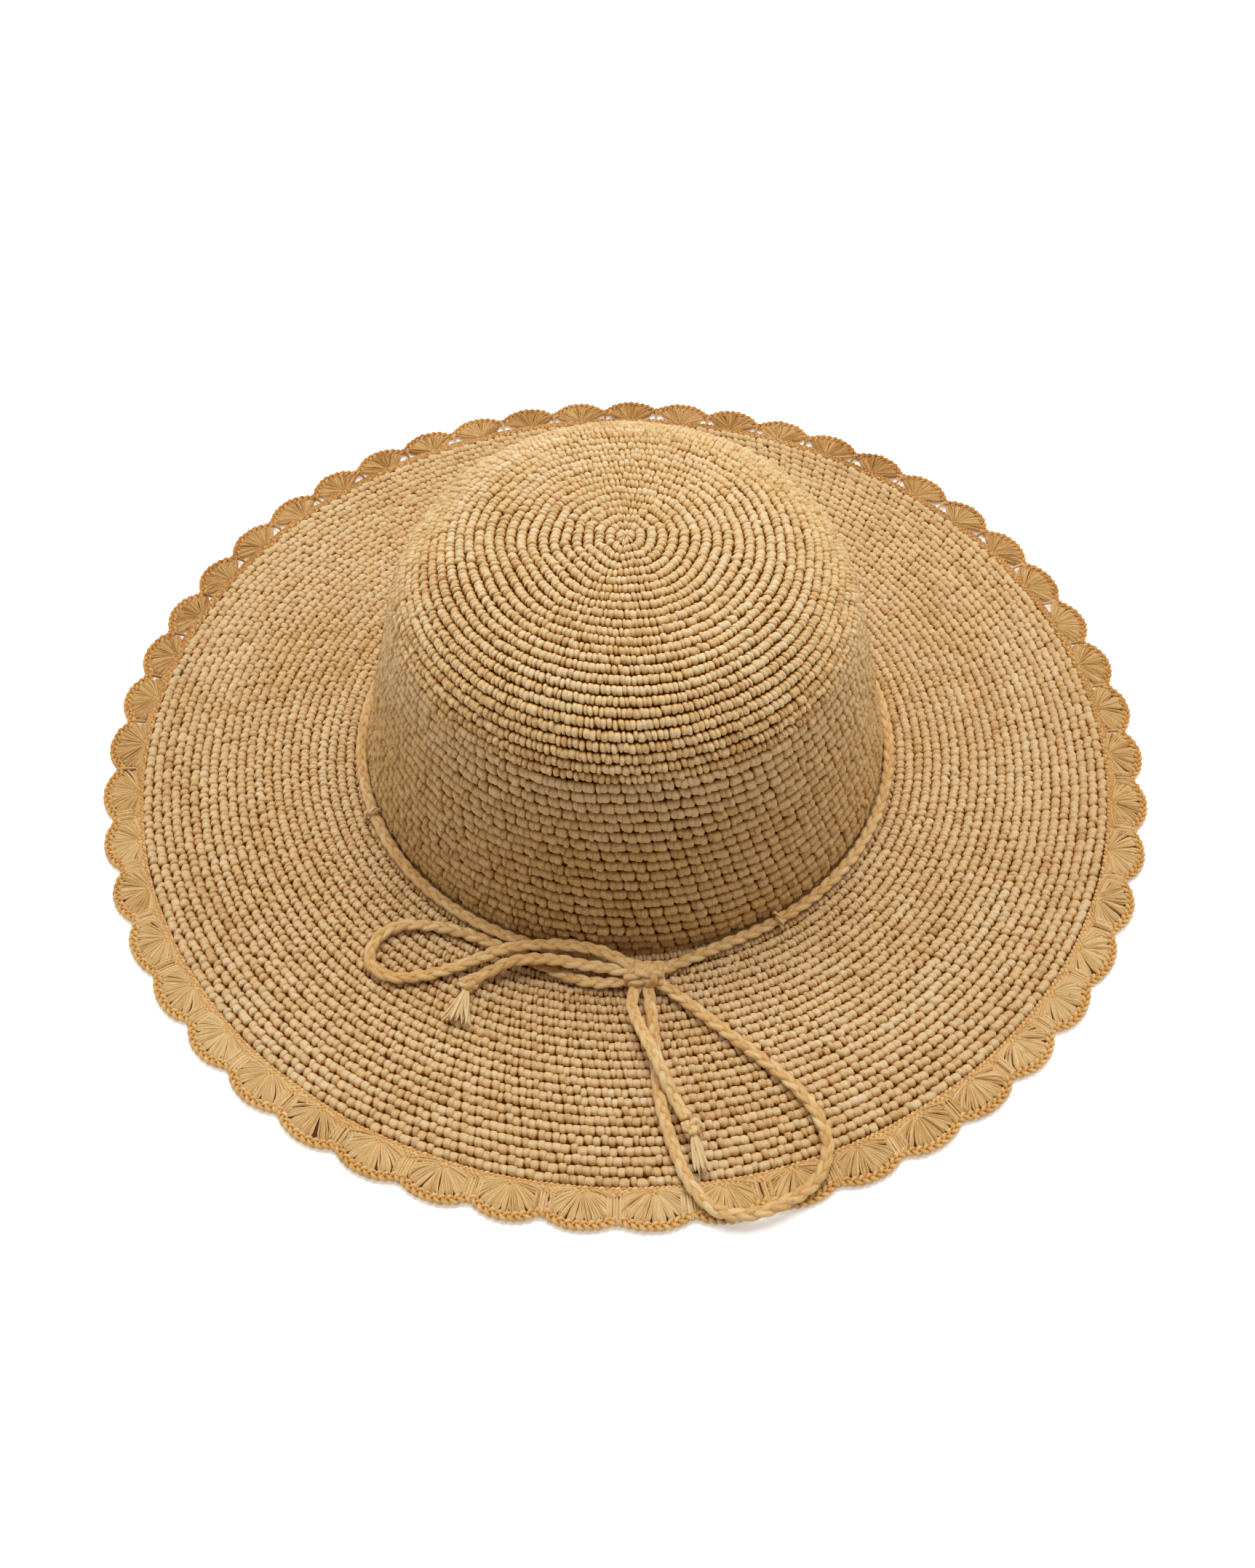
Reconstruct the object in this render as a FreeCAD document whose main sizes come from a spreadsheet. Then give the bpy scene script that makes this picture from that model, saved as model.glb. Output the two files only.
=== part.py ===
import FreeCAD, Part
import math
import os
import re
import Sketcher

# Straw sun hat: a crocheted raffia crown and wide flat brim with a shell-stitch edging, a brim wire,
# a sweatband, and a plaited cord round the crown, tied in a bow at the front.
# Millimetres. +Z is up, the brim lies on the plane z = 0, and the bow is at the front, on -Y.

doc = FreeCAD.newDocument("straw_sun_hat")

# ---------------------------------------------------------------------------------------------
# Driving dimensions
# ---------------------------------------------------------------------------------------------

SIZES = [
    # crown
    ("crown_radius", 95.2, "outside of the crown at its foot"),
    ("crown_foot", 12.0, "height of the upright foot of the crown"),
    ("wall", 3.0, "thickness of the crown's fabric"),
    ("rim_radius", 80.2, "outside of the crown where its shoulder starts"),
    ("rim_height", 78.0, "height at which the shoulder starts"),
    ("shoulder_radius", 35.0, "rounding of the shoulder"),
    ("dome_radius", 50.4, "where the shoulder meets the flat dome of the top"),
    ("dome_height", 105.0, "height of that meeting"),
    ("crown_height", 108.1, "height of the middle of the top"),
    # brim
    ("brim_radius", 179.0, "outside of the plain brim"),
    ("brim_thickness", 3.2, "thickness of the brim's fabric"),
    ("fold_line", 110.0, "distance from the middle to the line on which the back of the brim turns up"),
    ("fold_gap", 0.3, "clearance between the two parts of the brim at that line"),
    # shell edging and its border
    ("shell_count", 51, "shells round the brim"),
    ("shell_first", -2.5, "direction of the first shell, in degrees from +X"),
    ("shell_tip", 191.0, "middle of the border at the tip of a shell"),
    ("shell_rounding", 11.6, "rounding of a shell's outline"),
    ("valley_rounding", 3.0, "rounding between two shells"),
    ("shell_thickness", 2.6, "thickness of a shell"),
    ("border_radius", 1.5, "half the thickness of the border"),
    ("eyelet_width", 2.6, "width of the small opening between two shells"),
    ("eyelet_inner", 181.8, "inner point of that opening"),
    ("eyelet_outer", 184.2, "outer side of that opening"),
    # brim wire
    ("wire_ring", 176.0, "radius of the brim wire's ring"),
    ("wire_radius", 0.7, "half the thickness of the brim wire"),
    ("ferrule_radius", 1.15, "outside radius of the wire's ferrule"),
    ("ferrule_length", 12.0, "length of the ferrule along the wire"),
    ("ferrule_angle", 168.0, "direction of the ferrule, in degrees from +X"),
    # sweatband
    ("head_radius", 91.2, "inside of the sweatband at the head opening"),
    ("band_thickness", 1.0, "thickness of the sweatband"),
    ("band_bottom", 1.5, "height of the sweatband's lower edge"),
    ("band_top", 30.0, "height of the sweatband's upper edge"),
    ("stitch_count", 64, "stitches that hold the sweatband"),
    ("stitch_length", 3.4, "length of such a stitch"),
    ("stitch_depth", 0.6, "thickness of such a stitch"),
    ("stitch_height", 3.5, "height of the row of stitches"),
    # hat cord and its bow
    ("cord_radius", 2.0, "half the width of the plaited cord"),
    ("cord_ring", 98.0, "radius of the cord's ring round the crown"),
    ("cord_gap", 0.2, "clearance between the lying cord and the brim"),
    ("cord_tuck", 0.88, "share of the way from the ring to the knot's middle that the cord runs"),
    ("knot_x", 6.5, "middle of the bow knot"),
    ("knot_y", -105.5, "middle of the bow knot"),
    ("knot_lift", 2.8, "height of the knot's middle over the lying cord's"),
    ("knot_length", 7.5, "half the bow knot's length"),
    ("knot_width", 6.0, "half its width"),
    ("knot_height", 4.6, "half its height"),
    # keepers
    ("keeper_count", 4, "keeper loops round the crown"),
    ("keeper_first", -58.0, "direction of the first keeper, in degrees from +X"),
    ("keeper_step", 87.0, "angle from one keeper to the next"),
    ("keeper_ring", 3.3, "radius of a keeper's bend round the cord"),
    ("keeper_radius", 0.8, "half the thickness of a keeper"),
    ("keeper_start", 155.0, "where its bend leaves the crown, in degrees round the cord"),
    ("keeper_end", -45.0, "where its bend meets the brim, in degrees round the cord"),
    # tassels
    ("end_knot_width", 3.8, "half the width of a tail's end knot"),
    ("end_knot_length", 4.6, "half its length"),
    ("end_knot_height", 3.5, "half its height"),
    ("tassel_root", 2.2, "half the width of a tassel at its knot"),
    ("tassel_height", 2.5, "half the height of a tassel at its end"),
    ("left_tassel_spread", 6.8, "half the width of the left tassel at its end"),
    ("right_tassel_spread", 2.8, "half the width of the right tassel at its end"),
]

sheet = doc.addObject("Spreadsheet::Sheet", "Sizes")
for row, (alias, value, meaning) in enumerate(SIZES, start=1):
    sheet.set(f"A{row}", alias)
    sheet.set(f"B{row}", str(value))
    sheet.setAlias(f"B{row}", alias)
    sheet.set(f"C{row}", meaning)
doc.recompute()


def size(expression):
    """The value of an expression in the sheet's aliases, such as "crown_radius - wall"."""
    return float(sheet.evalExpression(expression))


def bound(expression):
    """The same expression, as another object of the document has to write it."""
    aliases = {alias for alias, _, _ in SIZES}
    return re.sub(r"[a-z_]+", lambda word: "Sizes." * (word[0] in aliases) + word[0], expression)


def bind(thing, **properties):
    """Bind properties to expressions. A double underscore stands for a dot."""
    for name, expression in properties.items():
        thing.setExpression(name.replace("__", "."), bound(expression))
    return thing


# ---------------------------------------------------------------------------------------------
# Ways of making a piece
# ---------------------------------------------------------------------------------------------

def arc_between(first, last, radius):
    """The short arc of that radius from first to last, which bulges to the right of the way."""
    way = last - first
    half = way.Length / 2
    side = FreeCAD.Vector(way.y, -way.x, 0).normalize()
    rise = radius - math.sqrt(radius ** 2 - half ** 2)
    return Part.Arc(first, first + way / 2 + side * rise, last)


def revolved(label, outline):
    """A body of revolution round Z. The outline runs counterclockwise; each entry holds the
    expressions of a corner's radius and height, and one for the rounding of the edge that follows
    it, or None where that edge is straight. The rounding is negative where the edge is hollow."""
    body = doc.addObject("PartDesign::Body", label)
    body.Label = label
    sketch = body.newObject("Sketcher::SketchObject", label + "_outline")
    plane = next(f for f in body.Origin.OriginFeatures if f.Role == "XZ_Plane")
    sketch.AttachmentSupport = [(plane, "")]
    sketch.MapMode = "FlatFace"
    corners = [FreeCAD.Vector(size(radius), size(height), 0) for radius, height, _ in outline]
    for index, (_, _, rounding) in enumerate(outline):
        here = corners[index]
        there = corners[(index + 1) % len(corners)]
        if rounding is None:
            sketch.addGeometry(Part.LineSegment(here, there), False)
        elif rounding.startswith("-"):
            sketch.addGeometry(arc_between(there, here, size(rounding[1:])), False)
        else:
            sketch.addGeometry(arc_between(here, there, size(rounding)), False)
    for index, (radius, height, rounding) in enumerate(outline):
        # a hollow arc is drawn backwards, so its ends are swapped
        start = 2 if rounding and rounding.startswith("-") else 1
        before = outline[index - 1][2]
        end_before = 1 if before and before.startswith("-") else 2
        previous = (index - 1) % len(outline)
        sketch.addConstraint(Sketcher.Constraint("Coincident", previous, end_before, index, start))
        for kind, expression, axis in (("DistanceX", radius, -2), ("DistanceY", height, -1)):
            if expression == "0":
                sketch.addConstraint(Sketcher.Constraint("PointOnObject", index, start, axis))
                continue
            number = sketch.addConstraint(
                Sketcher.Constraint(kind, -1, 1, index, start, size(expression)))
            sketch.setExpression(f"Constraints[{number}]", bound(expression))
        if rounding:
            number = sketch.addConstraint(
                Sketcher.Constraint("Radius", index, size(rounding.lstrip("-"))))
            sketch.setExpression(f"Constraints[{number}]", bound(rounding.lstrip("-")))
    turn = body.newObject("PartDesign::Revolution", label + "_revolution")
    turn.Profile = sketch
    turn.ReferenceAxis = (sketch, ["V_Axis"])
    turn.Angle = 360
    return body


def cylinder(name, radius, height, bottom="0"):
    return bind(doc.addObject("Part::Cylinder", name), Radius=radius, Height=height,
                Placement__Base__z=bottom)


def torus(name, ring, radius, height):
    return bind(doc.addObject("Part::Torus", name), Radius1=ring, Radius2=radius,
                Placement__Base__z=height)


def ellipsoid(name, half_length, half_width, half_height):
    # a Part::Ellipsoid has its Radius1 along Z, Radius2 along X and Radius3 along Y
    thing = doc.addObject("Part::Ellipsoid", name)
    thing.Angle1 = -90
    return bind(thing, Radius1=half_height, Radius2=half_length, Radius3=half_width)


def plain(name, shape):
    thing = doc.addObject("Part::Feature", name)
    thing.Shape = shape
    return thing


def boolean(kind, name, base, tool):
    thing = doc.addObject(kind, name)
    thing.Base = base
    thing.Tool = tool
    return thing


def cut(name, base, *tools):
    for number, tool in enumerate(tools, start=1):
        step = name if number == len(tools) else f"{name}_step_{number}"
        base = boolean("Part::Cut", step, base, tool)
    return base


def polar(radius, degrees, height=0.0):
    angle = math.radians(degrees)
    return FreeCAD.Vector(radius * math.cos(angle), radius * math.sin(angle), height)


def tube(wire, radius):
    """A round tube along a wire of runs and tangent arcs."""
    first = wire.Edges[0]
    way = first.tangentAt(first.FirstParameter)
    section = Part.Wire(Part.Circle(wire.Vertexes[0].Point, way, radius).toShape())
    return wire.makePipeShell([section], True, True)


# ---------------------------------------------------------------------------------------------
# Crown: a single-crochet fabric, worked from the middle of the top down to the brim
# ---------------------------------------------------------------------------------------------

LEAN = "atan((crown_radius - rim_radius) / (rim_height - crown_foot))"
RIM_INNER_RADIUS = f"rim_radius - wall * cos({LEAN})"
RIM_INNER_HEIGHT = f"rim_height - wall * sin({LEAN})"
FOOT_INNER = f"(crown_foot - wall * tan({LEAN} / 2))"
# the flat dome of the top is part of a sphere whose middle is on the hat's axis
DOME_RISE = "(crown_height - dome_height)"
DOME_ROUNDING = f"((dome_radius * dome_radius / {DOME_RISE} + {DOME_RISE}) / 2)"
SLOPE = f"asin(dome_radius / {DOME_ROUNDING})"

crown_side = revolved("crown_side", [
    ("crown_radius - wall", "0", None),
    ("crown_radius", "0", None),
    ("crown_radius", "crown_foot", None),
    ("rim_radius", "rim_height", None),
    (RIM_INNER_RADIUS, RIM_INNER_HEIGHT, None),
    ("crown_radius - wall", FOOT_INNER, None),
])

crown_tip = revolved("crown_tip", [
    (RIM_INNER_RADIUS, RIM_INNER_HEIGHT, None),
    ("rim_radius", "rim_height", "shoulder_radius"),
    ("dome_radius", "dome_height", DOME_ROUNDING),
    ("0", "crown_height", None),
    ("0", "crown_height - wall", f"-{DOME_ROUNDING} - wall"),
    (f"dome_radius - wall * sin({SLOPE})", f"dome_height - wall * cos({SLOPE})",
     "-shoulder_radius - wall"),
])

# ---------------------------------------------------------------------------------------------
# Brim wire with its ferrule, hidden inside the last plain round of the brim
# ---------------------------------------------------------------------------------------------

wire_ring = torus("wire_ring", "wire_ring", "wire_radius", "brim_thickness / 2")
ferrule_half_angle = math.degrees(size("ferrule_length / wire_ring")) / 2
ferrule_arc = Part.Arc(*[
    polar(size("wire_ring"), size("ferrule_angle") + turn, size("brim_thickness / 2"))
    for turn in (-ferrule_half_angle, 0, ferrule_half_angle)])
ferrule_rod = plain("ferrule_rod", tube(Part.Wire(ferrule_arc.toShape()), size("ferrule_radius")))
wire_ferrule = cut("wire_ferrule", ferrule_rod, wire_ring)

# ---------------------------------------------------------------------------------------------
# Plain brim, and the shells and border of its edge
# ---------------------------------------------------------------------------------------------

brim_disc = cylinder("brim_disc", "brim_radius", "brim_thickness")
crown_hole = cylinder("crown_hole", "crown_radius", "brim_thickness")
whole_brim = cut("whole_brim", brim_disc, crown_hole, wire_ring, ferrule_rod)


def scallop_line(height):
    """The closed line along the tips of the shells and the valleys between them, of tangent arcs."""
    count = int(size("shell_count"))
    shell = size("shell_rounding")
    valley = size("valley_rounding")
    shell_middle = size("shell_tip") - shell
    half_pitch = 180.0 / count
    along = shell_middle * math.cos(math.radians(half_pitch))
    across = shell_middle * math.sin(math.radians(half_pitch))
    valley_middle = along + math.sqrt((shell + valley) ** 2 - across ** 2)
    edges = []
    for number in range(count):
        axis = size("shell_first") + 2 * half_pitch * number
        middle = polar(shell_middle, axis)
        before = polar(valley_middle, axis - half_pitch)
        after = polar(valley_middle, axis + half_pitch)
        share = shell / (shell + valley)
        shell_start = middle + (before - middle) * share
        shell_end = middle + (after - middle) * share
        next_start = after + (polar(shell_middle, axis + 2 * half_pitch) - after) * (1 - share)
        lowest = polar(valley_middle - valley, axis + half_pitch)
        edges.append(Part.Arc(shell_start, polar(size("shell_tip"), axis), shell_end).toShape())
        edges.append(Part.Arc(shell_end, lowest, next_start).toShape())
    line = Part.Wire(edges)
    line.translate(FreeCAD.Vector(0, 0, height))
    return line


def shell_plate():
    """The shells side by side as one plate, with an eyelet between each two of them."""
    count = int(size("shell_count"))
    bottom = size("brim_thickness - shell_thickness") / 2
    up = FreeCAD.Vector(0, 0, size("shell_thickness"))
    plate = Part.Face(scallop_line(bottom)).extrude(up)
    inside = Part.makeCylinder(size("brim_radius"), up.z, FreeCAD.Vector(0, 0, bottom))
    half_width = math.degrees(size("eyelet_width / eyelet_outer")) / 2
    eyelets = []
    for number in range(count):
        axis = size("shell_first") + 360.0 / count * (number + 0.5)
        corners = [polar(size("eyelet_inner"), axis, bottom),
                   polar(size("eyelet_outer"), axis - half_width, bottom),
                   polar(size("eyelet_outer"), axis + half_width, bottom)]
        eyelets.append(Part.Face(Part.makePolygon(corners + corners[:1])).extrude(up))
    return plate.cut(inside).cut(eyelets)


border_ring = plain("border_ring", tube(scallop_line(size("brim_thickness") / 2), size("border_radius")))
shell_ring = plain("shell_ring", shell_plate())
whole_edging = cut("whole_edging", shell_ring, border_ring)

# The back of the brim turns up along a straight line behind the crown, so that each ring of the
# brim is two pieces, one on each side of the line.
fold_box = doc.addObject("Part::Box", "fold_box")
bind(fold_box, Length="3 * brim_radius", Width="brim_radius", Height="4 * brim_thickness",
     Placement__Base__x="-1.5 * brim_radius", Placement__Base__y="fold_line + fold_gap / 2",
     Placement__Base__z="-1.5 * brim_thickness")
front_box = doc.addObject("Part::Box", "front_box")
bind(front_box, Length="3 * brim_radius", Width="fold_line - fold_gap / 2 + 1.5 * brim_radius",
     Height="4 * brim_thickness", Placement__Base__x="-1.5 * brim_radius",
     Placement__Base__y="-1.5 * brim_radius", Placement__Base__z="-1.5 * brim_thickness")

SPLIT_RINGS = [("brim", whole_brim), ("shell_edging", whole_edging),
               ("scallop_border", border_ring), ("brim_wire", wire_ring)]
brim_pieces = {}
for ring_label, ring in SPLIT_RINGS:
    brim_pieces[ring_label] = boolean("Part::Common", ring_label + "_part", ring, front_box)
    back_label = ring_label + "_back"
    brim_pieces[back_label] = boolean("Part::Common", back_label + "_part", ring, fold_box)

# ---------------------------------------------------------------------------------------------
# Sweatband inside the foot of the crown, and the row of stitches that holds it
# ---------------------------------------------------------------------------------------------

band_blank = revolved("band_blank", [
    ("head_radius", "band_bottom", None),
    ("crown_radius - wall", "band_bottom", None),
    ("crown_radius - wall", FOOT_INNER, None),
    (f"crown_radius - wall - (band_top - {FOOT_INNER}) * tan({LEAN})", "band_top", None),
    (f"head_radius - (band_top - {FOOT_INNER} + band_thickness * tan({LEAN} / 2)) * tan({LEAN})",
     "band_top", None),
    ("head_radius", f"{FOOT_INNER} - band_thickness * tan({LEAN} / 2)", None),
])


def stitch_row():
    """Short stitches that lie flush in the face of the sweatband."""
    inner = size("head_radius")
    outer = inner + size("stitch_depth")
    low = FreeCAD.Vector(0, 0, size("stitch_height - stitch_depth / 2"))
    up = FreeCAD.Vector(0, 0, 1)
    angle = math.degrees(size("stitch_length / head_radius"))
    thick = size("stitch_depth")
    blank = Part.makeCylinder(outer, thick, low, up, angle).cut(
        Part.makeCylinder(inner, thick, low, up, 360))
    count = int(size("stitch_count"))
    return Part.Compound([blank.rotated(FreeCAD.Vector(), up, 360.0 / count * number - angle / 2)
                          for number in range(count)])


sweatband_stitching = plain("sweatband_stitching", stitch_row())
sweatband = cut("sweatband", band_blank, sweatband_stitching)

# ---------------------------------------------------------------------------------------------
# Hat cord: its ring round the crown, the bow knot, two loops and two tails with tasselled ends
# ---------------------------------------------------------------------------------------------

LYING = "brim_thickness + cord_gap + cord_radius"

# Points that each free cord is drawn towards: x, y, and the lift over a cord that lies on the brim.
# Where a cord passes over another one it is lifted by a little more than its own thickness.
CORDS = {
    "left_loop": [
        (4.0, -106.8, 1.2), (-4.0, -107.8, 0.2), (-13.0, -107.3, 0.0), (-22.0, -104.0, 0.0),
        (-31.0, -99.3, 0.0), (-42.5, -93.6, 0.0), (-54.5, -87.8, 0.0), (-67.0, -84.8, 0.0),
        (-78.0, -84.6, 0.0), (-85.8, -91.0, 0.0), (-86.8, -100.5, 0.0), (-79.5, -105.8, 0.0),
        (-69.0, -105.4, 0.0), (-58.5, -102.4, 0.2), (-49.0, -99.2, 1.9), (-41.0, -97.2, 4.9),
        (-32.5, -96.4, 5.8), (-22.5, -96.4, 6.2), (-12.5, -97.6, 6.2), (-4.5, -99.9, 5.6),
        (3.0, -103.8, 4.0)],
    "right_loop": [
        (7.6, -107.5, 1.2), (8.3, -115.5, 0.2), (9.2, -124.5, 0.0), (9.9, -134.0, 0.0),
        (10.1, -144.5, 0.0), (12.0, -156.0, 0.0), (15.8, -169.0, 0.0), (20.6, -180.6, 0.0),
        (27.8, -188.2, 0.0), (38.2, -189.0, 0.0), (49.3, -184.8, 0.0), (59.6, -177.8, 0.0),
        (64.2, -166.5, 0.0), (61.0, -154.5, 0.0), (52.3, -143.0, 0.0), (40.5, -132.5, 0.0),
        (27.5, -121.2, 0.0), (17.5, -112.6, 0.3), (10.0, -107.5, 1.6)],
    "left_tail": [
        (4.0, -105.8, 3.4), (-5.5, -103.8, 3.3), (-14.0, -102.6, 3.2), (-23.0, -101.4, 4.6),
        (-31.5, -101.2, 5.1), (-38.5, -102.0, 4.6), (-44.0, -103.6, 1.9), (-48.2, -105.2, 0.8),
        (-51.4, -107.6, 1.2)],
    "right_tail": [
        (4.6, -108.0, 1.0), (1.6, -113.4, 0.2), (2.9, -120.2, 0.9), (5.2, -126.8, 3.5),
        (7.6, -132.8, 4.6), (10.4, -139.4, 4.8), (13.2, -145.6, 3.4), (15.9, -151.6, 0.9),
        (19.6, -157.6, 1.2)],
}

# Middle of each end knot, and the end of its tassel: x and y.
TAIL_ENDS = {
    "left": ((-52.2, -108.8), (-56.0, -123.0), "left_tassel_spread"),
    "right": ((20.8, -160.8), (24.2, -175.2), "right_tassel_spread"),
}


def rounded_wire(points):
    """Straight runs joined by tangent arcs, and the smallest of the arcs' radii."""
    edges = []
    radii = []
    here = points[0]
    for before, corner, after in zip(points, points[1:], points[2:]):
        back = before - corner
        ahead = after - corner
        reach = 0.45 * min(back.Length, ahead.Length)
        turn = math.pi - back.getAngle(ahead)
        radii.append(reach / math.tan(turn / 2))
        start = corner + back.normalize() * reach
        end = corner + ahead.normalize() * reach
        inward = (back + ahead).normalize()
        middle = corner + inward * radii[-1] * (1 / math.cos(turn / 2) - 1)
        edges.append(Part.LineSegment(here, start).toShape())
        edges.append(Part.Arc(start, middle, end).toShape())
        here = end
    edges.append(Part.LineSegment(here, points[-1]).toShape())
    return Part.Wire(edges), min(radii)


bow_knot = ellipsoid("bow_knot", "knot_length", "knot_width", "knot_height")
bind(bow_knot, Placement__Base__x="knot_x", Placement__Base__y="knot_y",
     Placement__Base__z=f"{LYING} + knot_lift")


def ring_wire():
    """Round the crown on a circle, and straight from it to the knot on both sides."""
    height = size(LYING)
    knot = FreeCAD.Vector(size("knot_x"), size("knot_y"), height)
    ring = size("cord_ring")
    reach = math.hypot(knot.x, knot.y)
    direction = math.degrees(math.atan2(knot.y, knot.x))
    half = math.degrees(math.acos(ring / reach))
    right = polar(ring, direction + half, height)
    left = polar(ring, direction - half, height)
    behind = polar(ring, direction + 180, height)
    tuck = size("cord_tuck")
    return Part.Wire([
        Part.LineSegment(right + (knot - right) * tuck, right).toShape(),
        Part.Arc(right, behind, left).toShape(),
        Part.LineSegment(left, left + (knot - left) * tuck).toShape()])


cord_tube = plain("cord_tube", tube(ring_wire(), size("cord_radius")))
hat_cord = cut("hat_cord", cord_tube, bow_knot)

# a tassel is a bundle that spreads sideways only, so its cone is kept between two level planes
tassel_slab = bind(doc.addObject("Part::Box", "tassel_slab"), Length="2 * brim_radius",
                   Width="2 * brim_radius", Height="2 * tassel_height",
                   Placement__Base__x="-brim_radius", Placement__Base__y="-2 * brim_radius",
                   Placement__Base__z="brim_thickness + cord_gap")
end_knots = {}
tassels = {}
for side, ((knot_x, knot_y), (end_x, end_y), spread) in TAIL_ENDS.items():
    heading = math.degrees(math.atan2(end_y - knot_y, end_x - knot_x))
    knot = ellipsoid(f"{side}_end_knot", "end_knot_length", "end_knot_width", "end_knot_height")
    knot.Placement.Rotation = FreeCAD.Rotation(FreeCAD.Vector(0, 0, 1), heading)
    knot.Placement.Base.x = knot_x
    knot.Placement.Base.y = knot_y
    bind(knot, Placement__Base__z="brim_thickness + cord_gap + end_knot_height")
    end_knots[side] = knot
    cone = doc.addObject("Part::Cone", f"{side}_tassel_cone")
    cone.Height = math.hypot(end_x - knot_x, end_y - knot_y)
    cone.Placement.Rotation = FreeCAD.Rotation(FreeCAD.Vector(0, 0, 1), polar(1, heading))
    cone.Placement.Base.x = knot_x
    cone.Placement.Base.y = knot_y
    bind(cone, Radius1="tassel_root", Radius2=spread,
         Placement__Base__z="brim_thickness + cord_gap + tassel_height")
    fan = boolean("Part::Common", f"{side}_tassel_fan", cone, tassel_slab)
    tassels[side] = cut(f"{side}_tassel", fan, knot)

free_cords = {}
for label, route in CORDS.items():
    points = [FreeCAD.Vector(x, y, size(LYING) + lift) for x, y, lift in route]
    path, tightest = rounded_wire(points)
    cord = tube(path, size("cord_radius"))
    expected = math.pi * size("cord_radius") ** 2 * path.Length
    print(f"{label}: length {path.Length:.1f} mm, smallest radius {tightest:.1f} mm, "
          f"volume {cord.Volume / expected:.4f} of section x length")
    knots = [bow_knot]
    if label.endswith("_tail"):
        knots.append(end_knots[label.split("_")[0]])
    free_cords[label] = cut(label, plain(label + "_tube", cord), *knots)

# ---------------------------------------------------------------------------------------------
# Keepers: loops of raffia from the crown's wall, over the cord, to the brim
# ---------------------------------------------------------------------------------------------


def keeper_loops():
    """Each loop bends round the cord's line, in a plane through the hat's axis."""
    loops = []
    start = math.radians(size("keeper_start"))
    end = math.radians(size("keeper_end"))
    for number in range(int(size("keeper_count"))):
        direction = size(f"keeper_first + keeper_step * {number}")
        middle = polar(size("cord_ring"), direction, size(LYING))
        outward = polar(1, direction)
        up = FreeCAD.Vector(0, 0, 1)
        ring = size("keeper_ring")
        bend = [middle + outward * ring * math.cos(turn) + up * ring * math.sin(turn)
                for turn in (start, (start + end) / 2, end)]
        loops.append(tube(Part.Wire(Part.Arc(*bend).toShape()), size("keeper_radius")))
    return Part.Compound(loops)


keeper_rods = plain("keeper_rods", keeper_loops())
cord_keepers = cut("cord_keepers", keeper_rods, crown_side, whole_brim)

# ---------------------------------------------------------------------------------------------
# Write the pieces
# ---------------------------------------------------------------------------------------------

PIECES = {"crown_tip": crown_tip, "crown_side": crown_side, "wire_ferrule": wire_ferrule,
          "sweatband": sweatband, "sweatband_stitching": sweatband_stitching,
          "cord_keepers": cord_keepers, "hat_cord": hat_cord, "bow_knot": bow_knot}
PIECES.update(brim_pieces)
PIECES.update(free_cords)
for side in TAIL_ENDS:
    PIECES[f"{side}_end_knot"] = end_knots[side]
    PIECES[f"{side}_tassel"] = tassels[side]

for thing in doc.Objects:
    if thing.Label in PIECES and thing is not PIECES[thing.Label]:
        thing.Label = thing.Label + "_blank"
for label, piece in PIECES.items():
    piece.Label = label
doc.recompute()

for thing in doc.Objects:
    assert not {"Invalid", "Error"} & set(thing.State), f"{thing.Label} failed: {thing.State}"

os.makedirs("parts", exist_ok=True)
for label, piece in PIECES.items():
    assert piece.Label == label, f"{label} is called {piece.Label}"
    shape = piece.Shape
    assert not shape.isNull() and shape.isValid() and shape.Solids, f"{label} has no valid solid"
    shape.exportStep(os.path.join("parts", label + ".step"))
    box = shape.BoundBox
    print(f"{label}: {len(shape.Solids)} solids, {shape.Volume:.0f} mm3, "
          f"z {box.ZMin:.2f} to {box.ZMax:.2f}")
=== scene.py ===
"""Straw sun hat: crocheted raffia crown and brim, shell-stitch edging, sweatband, and a plaited cord
that is tied in a bow."""

import math
from typing import NamedTuple

import bpy
import numpy as np
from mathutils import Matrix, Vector


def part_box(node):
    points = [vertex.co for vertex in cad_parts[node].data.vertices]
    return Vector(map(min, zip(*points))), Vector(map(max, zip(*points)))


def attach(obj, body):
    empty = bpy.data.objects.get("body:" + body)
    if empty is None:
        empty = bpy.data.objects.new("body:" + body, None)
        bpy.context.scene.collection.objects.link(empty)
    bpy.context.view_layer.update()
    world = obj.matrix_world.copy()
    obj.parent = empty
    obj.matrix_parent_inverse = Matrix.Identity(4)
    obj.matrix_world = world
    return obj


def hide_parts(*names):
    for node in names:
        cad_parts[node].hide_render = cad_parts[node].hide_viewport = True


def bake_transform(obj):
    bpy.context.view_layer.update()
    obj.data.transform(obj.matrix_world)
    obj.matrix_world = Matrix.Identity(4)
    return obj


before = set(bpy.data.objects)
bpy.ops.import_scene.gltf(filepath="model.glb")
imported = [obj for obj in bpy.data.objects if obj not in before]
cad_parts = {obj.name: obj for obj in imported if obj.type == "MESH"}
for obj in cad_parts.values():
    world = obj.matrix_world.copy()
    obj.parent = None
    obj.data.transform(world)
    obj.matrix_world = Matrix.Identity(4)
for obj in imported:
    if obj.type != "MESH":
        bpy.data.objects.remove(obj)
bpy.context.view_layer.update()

MM = 0.001
TURN = 2 * math.pi

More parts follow.
